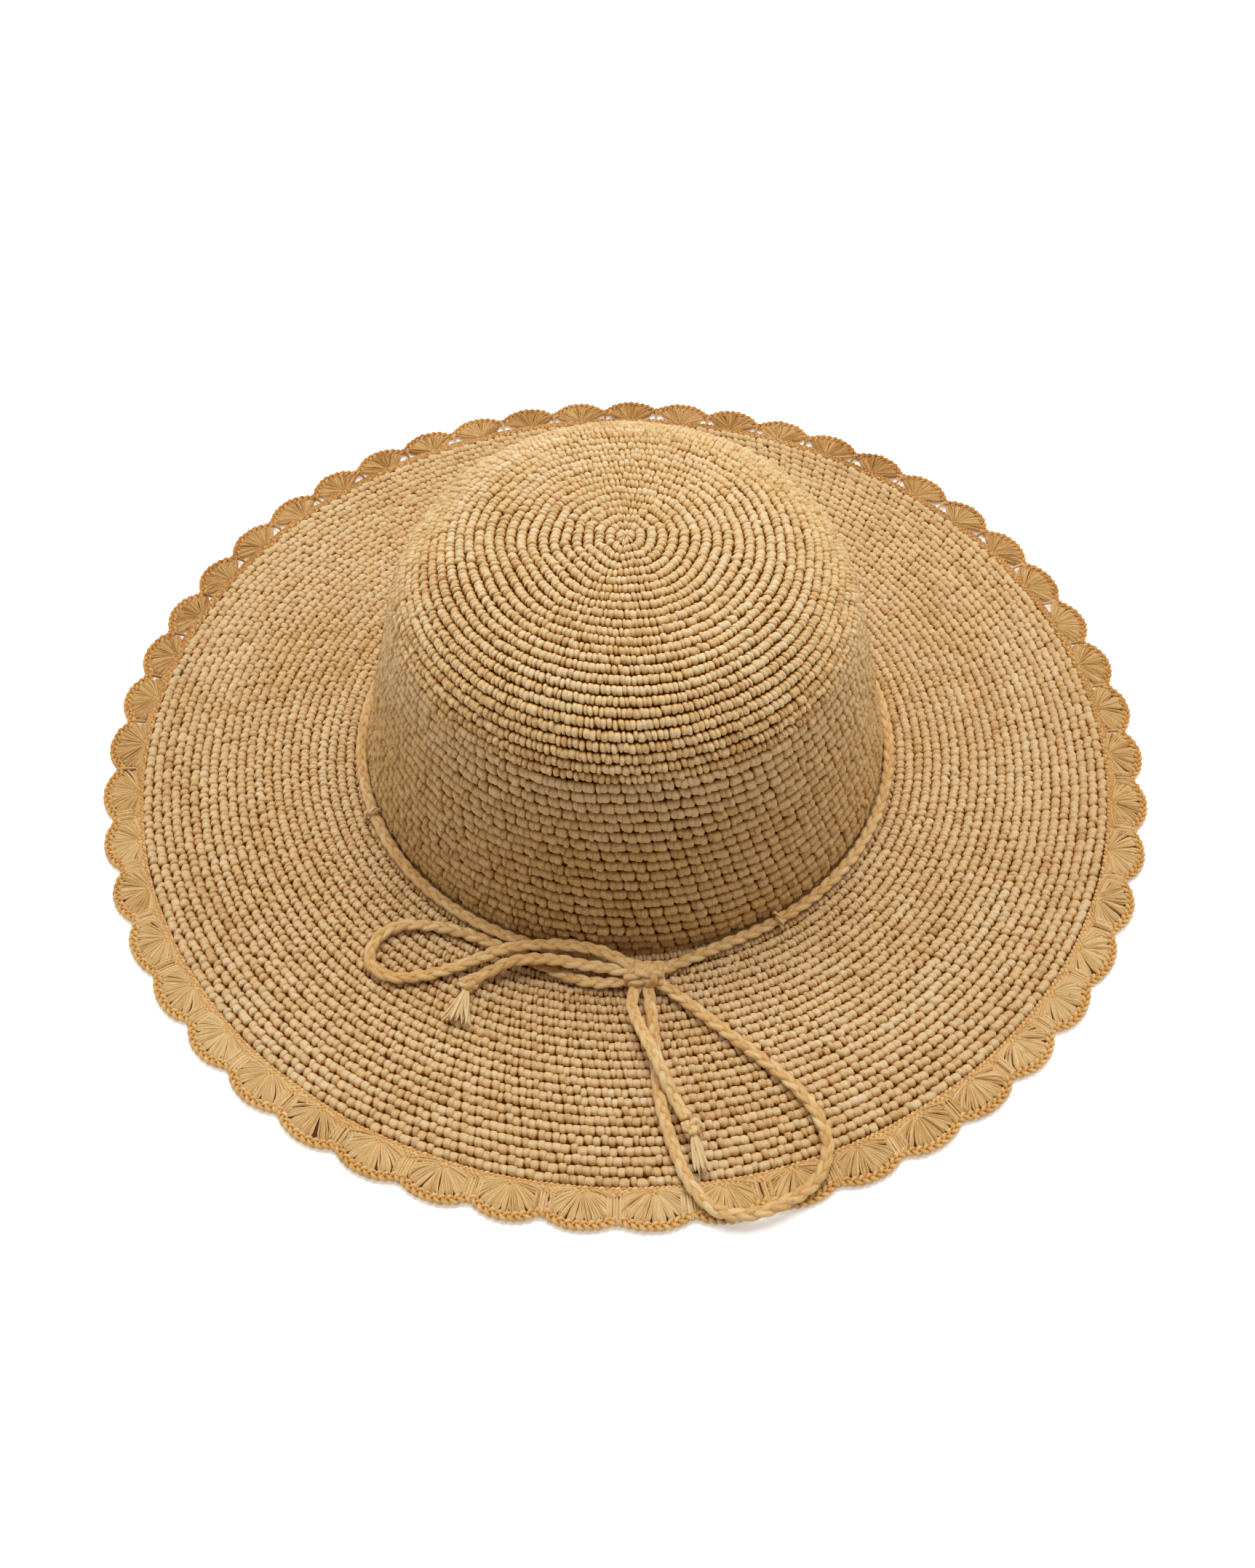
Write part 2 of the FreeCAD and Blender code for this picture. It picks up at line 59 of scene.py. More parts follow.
# Places and sizes that the frame holds
CROWN_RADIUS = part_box("crown_side")[1].x
RIM_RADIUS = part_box("crown_tip")[1].x
RIM_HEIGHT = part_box("crown_side")[1].z
CROWN_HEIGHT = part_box("crown_tip")[1].z
BRIM_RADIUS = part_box("brim")[1].x
BRIM_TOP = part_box("brim")[1].z
KNOT = (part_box("bow_knot")[0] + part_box("bow_knot")[1]) / 2
BAND_LOW, BAND_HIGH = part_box("sweatband")

# The crown's outline between those places, and the sweatband inside it
FOOT_HEIGHT = 12.0 * MM
SHOULDER_ROUNDING = 35.0 * MM
DOME_RADIUS = 50.4 * MM
DOME_HEIGHT = 105.0 * MM
WALL = 3.0 * MM
HEAD_RADIUS = 91.2 * MM
BAND_THICKNESS = 1.0 * MM
BAND_LAP = 10 * MM
BAND_STITCHES = 64
BAND_STITCH_LENGTH = 3.4 * MM

# How far the brim's fabric reaches under the crown's foot, and under the edging
UNDER_CROWN = 2.8 * MM
UNDER_EDGING = 1.2 * MM

# Crochet gauge: the first rounds of the top are TOP_PITCH wide, and each has TOP_INCREASE stitches more
# than the last. LEAN is how far a round's stitches stand ahead of the last round's, in stitches.
TOP_ROUNDS = 20
TOP_PITCH = 3.55 * MM
TOP_INCREASE = 6
TIP_ROUNDS = 26
SIDE_ROUNDS = 19
SIDE_STITCHES = 120
BRIM_ROUNDS = 25
BRIM_STITCHES = 204
LEAN = 0.22

# Painted shading near the shoulder, which blends the top into the side's painted shade: rounds of the top
# or the side, and what their tone gains there. The top darkens towards the side, and the side lightens near
# it.
TOP_FADE = ([17, 25], [0.0, -0.25])
SIDE_FADE = ([0, 7], [0.42, 0.0])
NO_FADE = ([0], [0.0])

# Shells of the edging
SHELLS = 51
POSTS = 11
FIRST_SHELL = math.radians(-2.5)
SHELL_TIP = 191.0 * MM
SHELL_ROUNDING = 11.6 * MM
VALLEY_ROUNDING = 3.0 * MM
BORDER_RADIUS = 1.5 * MM

# Plaited cord, and its keeper loops with their directions in degrees
CORD_WIDTH = 4.0 * MM
PLAIT_WIDTH = CORD_WIDTH * 0.96
PLAIT_HEIGHT = 0.62
CORD_PITCH = 16.0 * MM
CORD_RING = 98.0 * MM
CORD_HEIGHT = BRIM_TOP + 0.2 * MM + CORD_WIDTH / 2
KEEPERS = 4
FIRST_KEEPER = -58
KEEPER_STEP = 87
KEEPER_BEND = 3.3 * MM

# ------------ Camera ------------

CAMERA_DISTANCE = 632.0 * MM
CAMERA_ELEVATION = math.radians(51.34)
CAMERA_LENS = 38.53
CAMERA_SHIFT = (0.0014, -0.0272)

camera = bpy.data.objects.new("camera", bpy.data.cameras.new("camera"))
bpy.context.scene.collection.objects.link(camera)
bpy.context.scene.camera = camera
camera.data.lens = CAMERA_LENS
camera.data.shift_x, camera.data.shift_y = CAMERA_SHIFT
camera.location = (0, -CAMERA_DISTANCE * math.cos(CAMERA_ELEVATION),
                   CAMERA_DISTANCE * math.sin(CAMERA_ELEVATION))
camera.rotation_euler = (math.pi / 2 - CAMERA_ELEVATION, 0, 0)

# ------------ Materials ------------

BLACK = (0, 0, 0, 1)
WHITE = (1, 1, 1, 1)
# Painted shade: a warm brown that the raffia's colour is multiplied by where a place lies a little deep in
# the fabric
PAINTED_SHADE_TINT = (0.88, 0.60, 0.24, 1)
FIBRE_DEPTH = 0.00022

# Spacing of the tape's ribs along it, and of its picks across it, in millimetres
TAPE_RIBS = 0.9
TAPE_PICKS = 0.55


def rgb(hex_colour):
    """A linear colour from an sRGB one, such as "d8b078"."""
    values = [int(hex_colour[i:i + 2], 16) / 255 for i in (0, 2, 4)]
    return [v / 12.92 if v <= 0.04045 else ((v + 0.055) / 1.055) ** 2.4 for v in values] + [1]


class Nodes:
    """Short way to put a material's nodes together."""

    def __init__(self, name):
        self.material = bpy.data.materials.new(name)
        self.material.use_nodes = True
        self.tree = self.material.node_tree
        self.shader = self.tree.nodes["Principled BSDF"]

    def feed(self, socket, value):
        """Links a socket to a node's output, or gives it a plain value."""
        if isinstance(value, bpy.types.NodeSocket):
            self.tree.links.new(value, socket)
        else:
            socket.default_value = value

    def add(self, kind, **inputs):
        """A new node. An input goes by its name, or by i and its number."""
        node = self.tree.nodes.new("ShaderNode" + kind)
        for key, value in inputs.items():
            numbered = key[0] == "i" and key[1:].isdigit()
            self.feed(node.inputs[int(key[1:]) if numbered else key.replace("_", " ")], value)
        return node

    def math(self, operation, first, second=0.0, third=0.0):
        node = self.add("Math", i0=first, i1=second, i2=third)
        node.operation = operation
        return node.outputs[0]

    def attribute(self, name, output="Fac"):
        node = self.add("Attribute")
        node.attribute_name = name
        return node.outputs[output]

    def ramp(self, value, *stops):
        node = self.add("ValToRGB", Fac=value)
        elements = node.color_ramp.elements
        while len(elements) < len(stops):
            elements.new(0.5)
        for element, (place, colour) in zip(elements, stops):
            element.position = place
            element.color = colour
        return node.outputs["Color"]

    def mix(self, share, first, second, blend="MIX"):
        node = self.tree.nodes.new("ShaderNodeMix")
        node.data_type = "RGBA"
        node.blend_type = blend
        for number, value in ((0, share), (6, first), (7, second)):
            self.feed(node.inputs[number], value)
        return node.outputs[2]

    def set(self, **inputs):
        """Feeds the inputs of the material's shader."""
        for key, value in inputs.items():
            self.feed(self.shader.inputs[key.replace("_", " ")], value)


def raffia(name, pale, middle, dark, hollow):
    """Raffia whose strands differ in tone, with streaks along the fibres, patches and freckles. The mesh
    gives each strand's tone, how deep a place lies in the fabric, and coordinates along the fibres. The
    depth paints shade into the colour: a warm darker brown in shallow gaps, and hollow, a painted
    shadow colour, in the deepest ones."""
    n = Nodes(name)
    along = n.attribute("fibre", "Vector")
    streaks = n.add("TexNoise", Vector=along, Scale=1.0, Detail=4.0, Roughness=0.62).outputs["Fac"]
    place = n.add("TexCoord").outputs["Object"]
    patches = n.add("TexNoise", Vector=place, Scale=22.0, Detail=2.0).outputs["Fac"]
    grime = n.add("TexNoise", Vector=place, Scale=420.0, Detail=3.0).outputs["Fac"]
    tone = n.attribute("tone")
    tone = n.math("ADD", tone, n.math("MULTIPLY_ADD", streaks, 1.1, -0.55))
    tone = n.math("ADD", tone, n.math("MULTIPLY_ADD", patches, 0.5, -0.25))
    colour = n.ramp(tone, (0.0, dark), (0.45, middle), (1.0, pale))
    freckles = n.ramp(grime, (0.62, BLACK), (0.74, WHITE))
    colour = n.mix(n.math("MULTIPLY", freckles, 0.35), colour, dark)
    depth = n.attribute("depth")
    # Painted shade: with depth the colour turns to a warm darker brown, then to hollow, the painted shadow
    # colour
    tinted_shade = n.mix(1.0, colour, PAINTED_SHADE_TINT, "MULTIPLY")
    colour = n.mix(n.ramp(depth, (0.06, BLACK), (0.50, WHITE)), colour, tinted_shade)
    colour = n.mix(n.ramp(depth, (0.42, BLACK), (0.85, WHITE)), colour, hollow)
    rough = n.math("MULTIPLY_ADD", streaks, 0.25, 0.45)
    bump = n.add("Bump", Height=streaks, Distance=FIBRE_DEPTH, Strength=0.9)
    n.set(Base_Color=colour, Roughness=rough, Normal=bump.outputs[0], Specular_IOR_Level=0.22)
    return n.material


def tape(name):
    """Cotton tape with fine ribs, from the mesh's own coordinates along and across it."""
    n = Nodes(name)
    cloth = n.attribute("fibre", "Vector")
    parts = n.add("SeparateXYZ", Vector=cloth)
    ribs = n.math("SINE", n.math("MULTIPLY", parts.outputs["X"], TURN / TAPE_RIBS))
    picks = n.math("SINE", n.math("MULTIPLY", parts.outputs["Y"], TURN / TAPE_PICKS))
    weave = n.math("MULTIPLY_ADD", n.math("MULTIPLY", ribs, picks), 0.5, 0.5)
    stain = n.add("TexNoise", Vector=cloth, Scale=0.12, Detail=4.0).outputs["Fac"]
    colour = n.ramp(n.math("MULTIPLY_ADD", weave, 0.35, n.math("MULTIPLY", stain, 0.65)),
                    (0.15, rgb("b3a37f")), (0.5, rgb("cfc19f")), (0.9, rgb("e6dcc2")))
    bump = n.add("Bump", Height=weave, Distance=0.00018, Strength=0.8)
    n.set(Base_Color=colour, Roughness=0.85, Normal=bump.outputs[0], Sheen_Weight=0.25)
    return n.material


def metal(name, colour, roughness):
    """Drawn metal with a fine grain in its tint and roughness."""
    n = Nodes(name)
    place = n.add("TexCoord").outputs["Object"]
    drawn = n.add("TexNoise", Vector=place, Scale=900.0, Detail=3.0).outputs["Fac"]
    tint = n.mix(n.math("MULTIPLY", drawn, 0.5), colour, (0.25, 0.22, 0.18, 1))
    bump = n.add("Bump", Height=drawn, Distance=0.00005, Strength=0.4)
    n.set(Base_Color=tint, Metallic=1.0, Roughness=n.math("MULTIPLY_ADD", drawn, 0.3, roughness),
          Normal=bump.outputs[0])
    return n.material


# Painted shadow: the dark brown that the raffia turns to in the deepest gaps between stitches and strands
PAINTED_GAP_SHADOW = rgb("512b07")
CROWN_RAFFIA = raffia("crown_raffia", rgb("f3e0bb"), rgb("e3c28b"), rgb("b68446"), PAINTED_GAP_SHADOW)
# Painted shade: the crown's upright side is a darker copy of the top's raffia, with a darker hollow colour,
# for the shade that the overhead light leaves on upright faces
SHADED_SIDE_RAFFIA = raffia("crown_side_shaded_raffia", rgb("d8b683"), rgb("c59c60"), rgb("8f622a"), rgb("351a05"))
BRIM_RAFFIA = raffia("brim_raffia", rgb("ead3ab"), rgb("dab782"), rgb("aa7c46"), PAINTED_GAP_SHADOW)
EDGE_RAFFIA = raffia("edge_raffia", rgb("efd29c"), rgb("dcb274"), rgb("a67234"), PAINTED_GAP_SHADOW)
CORD_RAFFIA = raffia("cord_raffia", rgb("ecd09c"), rgb("d7ab6c"), rgb("a67238"), PAINTED_GAP_SHADOW)
COTTON_TAPE = tape("cotton_tape")
THREAD = raffia("sewing_thread", rgb("efe6cf"), rgb("ddd0b0"), rgb("bfae88"), rgb("6f5f40"))
WIRE_COVER = raffia("wire_cover", rgb("b08a58"), rgb("8f6a3c"), rgb("5c3f1c"), PAINTED_GAP_SHADOW)
FERRULE_BRASS = metal("ferrule_brass", (0.38, 0.26, 0.11, 1), 0.35)

# ------------ Meshes ------------


class Cloud:
    """Collects parts of a mesh, then makes one object of them."""

    def __init__(self):
        self.points = []
        self.quads = []
        self.tone = []
        self.depth = []
        self.fibre = []
        self.count = 0

    def grid(self, points, tone, depth, fibre, closed=(True, True)):
        """points is rows x columns x 3. closed says whether the last row joins the first, and the last
        column the first."""
        rows, columns = points.shape[:2]
        index = np.arange(rows * columns).reshape(rows, columns) + self.count
        if closed[0]:
            index = np.vstack([index, index[:1]])
        if closed[1]:
            index = np.hstack([index, index[:, :1]])
        self.quads.append(np.stack([index[:-1, :-1], index[:-1, 1:], index[1:, 1:], index[1:, :-1]],
                                   axis=-1).reshape(-1, 4))
        self.points.append(points.reshape(-1, 3))
        self.tone.append(np.broadcast_to(tone, (rows, columns)).ravel())
        self.depth.append(np.broadcast_to(depth, (rows, columns)).ravel())
        self.fibre.append(np.broadcast_to(fibre, (rows, columns, 3)).reshape(-1, 3))
        self.count += rows * columns

    def make(self, name, material):
        mesh = bpy.data.meshes.new(name)
        points = np.concatenate(self.points)
        quads = np.concatenate(self.quads)
        mesh.vertices.add(len(points))
        mesh.vertices.foreach_set("co", points.ravel())
        mesh.loops.add(quads.size)
        mesh.loops.foreach_set("vertex_index", quads.ravel())
        mesh.polygons.add(len(quads))
        mesh.polygons.foreach_set("loop_start", np.arange(0, quads.size, 4))
        mesh.polygons.foreach_set("use_smooth", np.ones(len(quads), bool))
        mesh.update(calc_edges=True)
        for key, values in (("tone", self.tone), ("depth", self.depth)):
            mesh.attributes.new(key, "FLOAT", "POINT").data.foreach_set("value", np.concatenate(values))
        fibre = mesh.attributes.new("fibre", "FLOAT_VECTOR", "POINT")
        fibre.data.foreach_set("vector", np.concatenate(self.fibre).ravel())
        mesh.materials.append(material)
        piece = bpy.data.objects.new(name, mesh)
        bpy.context.scene.collection.objects.link(piece)
        return piece


def unit(vectors):
    return vectors / np.linalg.norm(vectors, axis=-1, keepdims=True)


def round_axis(radius, angles, height):
    """Points round the hat's axis."""
    return np.stack(np.broadcast_arrays(radius * np.cos(angles), radius * np.sin(angles), height), -1)


def waves(angles, rng, slowest, fastest):
    """A smooth random line round a circle, of about unit height."""
    total = np.zeros_like(angles)
    for number in range(slowest, fastest + 1):
        total += rng.normal() * np.cos(number * angles + rng.uniform(0, TURN))
    return total / math.sqrt(fastest - slowest + 1)


def evenly(points, step):
    """The same line with points an even step apart."""
    lengths = np.concatenate([[0], np.cumsum(np.linalg.norm(np.diff(points, axis=0), axis=1))])
    places = np.linspace(0, lengths[-1], max(int(lengths[-1] / step), 4) + 1)
    return np.stack([np.interp(places, lengths, points[:, i]) for i in range(points.shape[1])], axis=1)


def nurbs_line(points):
    """Points along the smooth line that is drawn towards the given ones."""
    curve = bpy.data.curves.new("route", "CURVE")
    curve.dimensions = "3D"
    curve.resolution_u = 16
    spline = curve.splines.new("NURBS")
    spline.points.add(len(points) - 1)
    for target, point in zip(spline.points, points):
        target.co = (*point, 1)
    spline.order_u = 3
    spline.use_endpoint_u = True
    holder = bpy.data.objects.new("route", curve)
    bpy.context.scene.collection.objects.link(holder)
    mesh = bpy.data.meshes.new_from_object(holder)
    line = np.array([vertex.co for vertex in mesh.vertices])
    bpy.data.objects.remove(holder)
    bpy.data.meshes.remove(mesh)
    return line


def frames(line, closed=False, up=None):
    """Tangent, side and lift along a line. Without up, the side turns as little as it can."""
    if closed:
        tangent = unit(np.roll(line, -1, axis=0) - np.roll(line, 1, axis=0))
    else:
        tangent = unit(np.gradient(line, axis=0))
    if up is not None:
        side = unit(np.cross(tangent, up))
        return tangent, side, np.cross(side, tangent)
    side = np.empty_like(tangent)
    start = np.cross(tangent[0], [0.2, 0.1, 1.0])
    for index, way in enumerate(tangent):
        start = start - way * (start @ way)
        start = start / np.linalg.norm(start)
        side[index] = start
    return tangent, side, np.cross(side, tangent)


def strand(cloud, centre, side, lift, wide, thick, tone, rng, sides=9, lobes=3, closed=False, inner=None):
    """One strand of raffia: a tube whose section has soft lobes that turn slowly along it. inner gives
    how deep the tube's points lie in a hollow, which the material paints as shade."""
    count = len(centre)
    length = np.linalg.norm(np.diff(centre, axis=0), axis=1).mean() * np.arange(count) / MM
    angles = TURN * np.arange(sides) / sides
    turning = length[:, None] * 0.12 + rng.uniform(0, TURN)
    if closed:
        turning = turning * 0 + turning[0]
    lobe = 1 + 0.09 * np.cos(lobes * angles[None] + turning)
    taper = np.ones(count)
    if not closed:
        taper[[0, -1]] = 0.05
        taper[[1, -2]] = 0.85
    across = np.asarray(wide) * taper
    high = np.asarray(thick) * taper
    points = (centre[:, None]
              + side[:, None] * (np.cos(angles) * lobe * across[:, None])[..., None]
              + lift[:, None] * (np.sin(angles) * lobe * high[:, None])[..., None])
    round_the_strand = np.abs(angles / TURN - 0.5) * 18.0
    fibre = np.stack(np.broadcast_arrays(round_the_strand[None] + rng.uniform(0, 90), length[:, None] * 0.3,
                                         np.full((1, 1), rng.uniform(0, 50))), axis=-1)
    shade = np.zeros((count, sides)) if inner is None else inner(points)
    slow = 0.10 * np.sin(length * 0.09 + rng.uniform(0, TURN))
    cloud.grid(points, (tone + slow)[:, None], shade, fibre, closed=(closed, True))


def plait(cloud, line, rng, width=PLAIT_WIDTH, pitch=CORD_PITCH, height=PLAIT_HEIGHT, closed=False,
          up=(0, 0, 1), sides=9, swing=0.235, hollow=0.80, back_shading=0.0):
    """Three strands that cross over and under each other along a line. swing is how far a strand goes to
    each side, and height how high the plait is, as shares of its width. A place gets painted shade, the
    more the nearer it is to the plait's middle than hollow, a share of half the width. The last argument
    is painted shade that is added to the strands' tone."""
    _, side, lift = frames(line, closed, up)
    steps = np.linalg.norm(np.diff(line, axis=0, append=line[:1] if closed else line[-1:]), axis=1)
    length = np.concatenate([[0], np.cumsum(steps)])[:len(line)]
    turns = length / pitch
    if closed:
        turns = length / steps.sum() * round(steps.sum() / pitch)
    swing = width * swing
    half = width / 2 - swing

    def inner(points):
        away = np.linalg.norm(points - line[:, None], axis=2) / (width / 2)
        return np.clip(hollow - away, 0, 0.9)

    for number in range(3):
        phase = TURN * (turns + number / 3)
        loose = 1 + 0.06 * np.sin(length / MM * 0.21 + rng.uniform(0, TURN))
        if closed:
            loose = 1.0
        centre = (line + side * (swing * np.sin(phase) * loose)[:, None]
                  + lift * (width * 0.10 * height / PLAIT_HEIGHT * np.sin(2 * phase))[:, None])
        # The tone takes the painted shade towards the back of the brim, where one is given
        tone = 0.62 + rng.normal(0, 0.07) + back_shading
        strand(cloud, centre, side, lift, half * 1.30, half * height * 1.55, tone, rng, sides=sides,
               closed=closed, inner=inner)


# ------------ Cords: the bow's loops and tails lie on the brim ------------

# Points that each cord is drawn towards: x, y and the lift over a cord that lies on the brim, in metres
ROUTES = {
    "left_loop": [
        (0.0040, -0.1068, 0.0012), (-0.0040, -0.1078, 0.0002), (-0.0130, -0.1073, 0.0000),
        (-0.0220, -0.1040, 0.0000), (-0.0310, -0.0993, 0.0000), (-0.0425, -0.0936, 0.0000),
        (-0.0545, -0.0878, 0.0000), (-0.0670, -0.0848, 0.0000), (-0.0780, -0.0846, 0.0000),
        (-0.0858, -0.0910, 0.0000), (-0.0868, -0.1005, 0.0000), (-0.0795, -0.1058, 0.0000),
        (-0.0690, -0.1054, 0.0000), (-0.0585, -0.1024, 0.0002), (-0.0490, -0.0992, 0.0019),
        (-0.0410, -0.0972, 0.0049), (-0.0325, -0.0964, 0.0058), (-0.0225, -0.0964, 0.0062),
        (-0.0125, -0.0976, 0.0062), (-0.0045, -0.0999, 0.0056), (0.0030, -0.1038, 0.0040)],
    "right_loop": [
        (0.0076, -0.1075, 0.0012), (0.0083, -0.1155, 0.0002), (0.0092, -0.1245, 0.0000),
        (0.0099, -0.1340, 0.0000), (0.0101, -0.1445, 0.0000), (0.0120, -0.1560, 0.0000),
        (0.0158, -0.1690, 0.0000), (0.0206, -0.1806, 0.0000), (0.0278, -0.1882, 0.0000),
        (0.0382, -0.1890, 0.0000), (0.0493, -0.1848, 0.0000), (0.0596, -0.1778, 0.0000),
        (0.0642, -0.1665, 0.0000), (0.0610, -0.1545, 0.0000), (0.0523, -0.1430, 0.0000),
        (0.0405, -0.1325, 0.0000), (0.0275, -0.1212, 0.0000), (0.0175, -0.1126, 0.0003),
        (0.0100, -0.1075, 0.0016)],
    "left_tail": [
        (0.0040, -0.1058, 0.0034), (-0.0055, -0.1038, 0.0033), (-0.0140, -0.1026, 0.0032),
        (-0.0230, -0.1014, 0.0046), (-0.0315, -0.1012, 0.0051), (-0.0385, -0.1020, 0.0046),
        (-0.0440, -0.1036, 0.0019), (-0.0482, -0.1052, 0.0008), (-0.0514, -0.1076, 0.0012)],
    "right_tail": [
        (0.0046, -0.1080, 0.0010), (0.0016, -0.1134, 0.0002), (0.0029, -0.1202, 0.0009),
        (0.0052, -0.1268, 0.0035), (0.0076, -0.1328, 0.0046), (0.0104, -0.1394, 0.0048),
        (0.0132, -0.1456, 0.0034), (0.0159, -0.1516, 0.0009), (0.0196, -0.1576, 0.0012)],
}

# Tassels: the middle of their ends, how wide they spread, and the bundles of strands in them
BUNDLE_STRANDS = 11
TASSELS = {
    "left": ((-0.0560, -0.1230), 5.8 * MM, [(-0.42, 0.55), (0.58, 0.34)]),
    "right": ((0.0242, -0.1752), 2.6 * MM, [(-0.4, 0.5), (0.4, 0.5)]),
}


def end_knot(side_name, seed):
    """An overhand knot: a plait along a trefoil line."""
    low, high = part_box(f"{side_name}_end_knot")
    middle = (low + high) / 2
    t = np.linspace(0, TURN, 90, endpoint=False)
    line = np.stack([np.sin(t) + 2 * np.sin(2 * t), np.cos(t) - 2 * np.cos(2 * t), -1.3 * np.sin(3 * t)], 1)
    line = line * 0.74 * MM + np.array(middle)
    cloud = Cloud()
    rng = np.random.default_rng(seed)
    plait(cloud, line, rng, width=2.9 * MM, pitch=7 * MM, height=0.8, closed=True, up=None)
    piece = cloud.make(f"{side_name}_end_knot_plait", CORD_RAFFIA)
    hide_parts(f"{side_name}_end_knot")
    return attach(piece, "cord")


def tassel(side_name, end, spread, bundles, seed):
    """Loose raffia ends that fan out from the end knot to the given middle of their ends. Each bundle has
    a middle and half a width, as shares of the spread."""
    low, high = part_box(f"{side_name}_end_knot")
    start = np.array((low + high) / 2)
    end = np.array([*end, BRIM_TOP + 2.4 * MM])
    way = unit(end - start)
    across = unit(np.cross(way, [0, 0, 1]))
    rng = np.random.default_rng(seed)
    cloud = Cloud()
    for middle, half in bundles:
        for _ in range(BUNDLE_STRANDS):
            offset = middle + rng.uniform(-half, half)
            rise = rng.uniform(-0.9, 1.1) * MM
            length = rng.uniform(0.9, 1.04) * np.linalg.norm(end - start)
            t = np.linspace(0.16, 1, 9)[:, None]
            bend = rng.normal(0, 0.5) * MM
            line = (start + way * length * t + across * (offset * spread * t ** 1.4 + bend * np.sin(3 * t))
                    + np.array([0, 0, 1]) * (rise * t + 0.9 * MM * (1 - t)))
            _, side, lift = frames(line)
            strand(cloud, line, side, lift, rng.uniform(0.42, 0.62) * MM, rng.uniform(0.2, 0.3) * MM,
                   rng.uniform(0.55, 1.0), rng, sides=6, lobes=2)
    piece = cloud.make(f"{side_name}_tassel_strands", CORD_RAFFIA)
    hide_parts(f"{side_name}_tassel")
    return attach(piece, "cord")


ENDS = {side_name: [end_knot(side_name, seed), tassel(side_name, *TASSELS[side_name], seed + 1)]
        for side_name, seed in (("left", 11), ("right", 13))}

for seed, (cord_name, route) in enumerate(ROUTES.items(), start=20):
    line = evenly(nurbs_line([(x, y, CORD_HEIGHT + lift) for x, y, lift in route]), 0.55 * MM)
    cloud = Cloud()
    plait(cloud, line, np.random.default_rng(seed))
    cord = cloud.make(cord_name + "_plait", CORD_RAFFIA)
    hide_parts(cord_name)
    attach(cord, "cord")


# ------------ Hat cord, its knot and its keepers ------------

def hat_cord():
    """The plait round the crown, from the knot and back to it."""
    knot = np.array([KNOT.x, KNOT.y])
    direction = math.atan2(knot[1], knot[0])
    half = math.acos(CORD_RING / np.linalg.norm(knot))
    angles = np.linspace(direction + half, direction - half + TURN, 400)
    rng = np.random.default_rng(31)
    radii = CORD_RING + 0.25 * MM * waves(angles, rng, 3, 9) * np.sin((angles - angles[0]) / 2)
    ring = np.stack([radii * np.cos(angles), radii * np.sin(angles)], 1)
    line = np.vstack([knot + (ring[0] - knot) * 0.12, ring, knot + (ring[-1] - knot) * 0.12])
    line = evenly(np.column_stack([line, np.full(len(line), CORD_HEIGHT)]), 0.6 * MM)
    cloud = Cloud()
    plait(cloud, line, rng)
    piece = cloud.make("hat_cord_plait", CORD_RAFFIA)
    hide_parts("hat_cord")
    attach(piece, "cord")


# Points of the knot's visible passes, from its middle, in millimetres
KNOT_PASSES = [
    [(-7.2, 3.6, -0.6), (-4.0, 2.6, 1.0), (-1.0, 1.4, 1.8), (2.0, 0.2, 1.6), (4.6, -1.6, 0.2),
     (5.6, -3.4, -1.8)],
    [(7.2, 3.4, -2.0), (4.6, 2.6, -0.4), (1.6, 2.0, 0.8), (-1.6, 1.4, 0.6), (-3.6, -1.4, -0.6),
     (-3.4, -3.6, -2.2)],
    [(-7.0, -1.6, -0.6), (-4.2, -1.2, 1.2), (-1.2, -1.0, 2.4), (1.8, -1.2, 2.8), (4.4, -0.8, 2.0),
     (5.6, 0.8, 0.2), (4.6, 2.0, -1.6)],
    [(-5.6, -2.6, -1.8), (-3.0, -2.8, -0.4), (-0.6, -2.6, 0.4), (1.6, -2.6, 0.2), (3.6, -3.2, -1.8)],
    [(1.6, 3.2, -1.2), (2.4, 2.2, 1.6), (2.8, 0.0, 3.2), (2.4, -2.4, 2.4), (1.8, -4.0, -0.4),
     (1.4, -4.2, -2.4)],
]


def bow_knot():
    """The knot's visible passes, each a short plait."""
    cloud = Cloud()
    rng = np.random.default_rng(37)
    for route in KNOT_PASSES:
        line = evenly(nurbs_line(np.array(route) * MM + np.array(KNOT)), 0.4 * MM)
        plait(cloud, line, rng, width=CORD_WIDTH * 0.98, pitch=14 * MM, height=0.7, up=None)
    piece = cloud.make("bow_knot_plait", CORD_RAFFIA)
    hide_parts("bow_knot")
    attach(piece, "cord")


def cord_keepers():
    """Twisted raffia loops over the cord, from the crown to the brim."""
    cloud = Cloud()
    rng = np.random.default_rng(41)
    turn = np.radians(np.linspace(165, -60, 40))
    for direction in np.radians(FIRST_KEEPER + KEEPER_STEP * np.arange(KEEPERS)):
        outward = np.array([math.cos(direction), math.sin(direction), 0])
        middle = outward * CORD_RING + np.array([0, 0, CORD_HEIGHT])
        bend = (middle + KEEPER_BEND * np.cos(turn)[:, None] * outward
                + KEEPER_BEND * np.sin(turn)[:, None] * np.array([0, 0, 1]))
        _, side, lift = frames(bend)
        for half in (0, math.pi):
            twist = np.linspace(0, 2.2 * TURN, len(turn)) + half
            centre = bend + 0.42 * MM * (side * np.cos(twist)[:, None] + lift * np.sin(twist)[:, None])
            strand(cloud, centre, side, lift, 0.5 * MM, 0.42 * MM, 0.7 + rng.normal(0, 0.1), rng, sides=7)
    piece = cloud.make("cord_keeper_loops", CORD_RAFFIA)
    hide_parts("cord_keepers")
    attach(piece, "hat")


hat_cord()
bow_knot()
cord_keepers()

# ------------ Crocheted fabric ------------

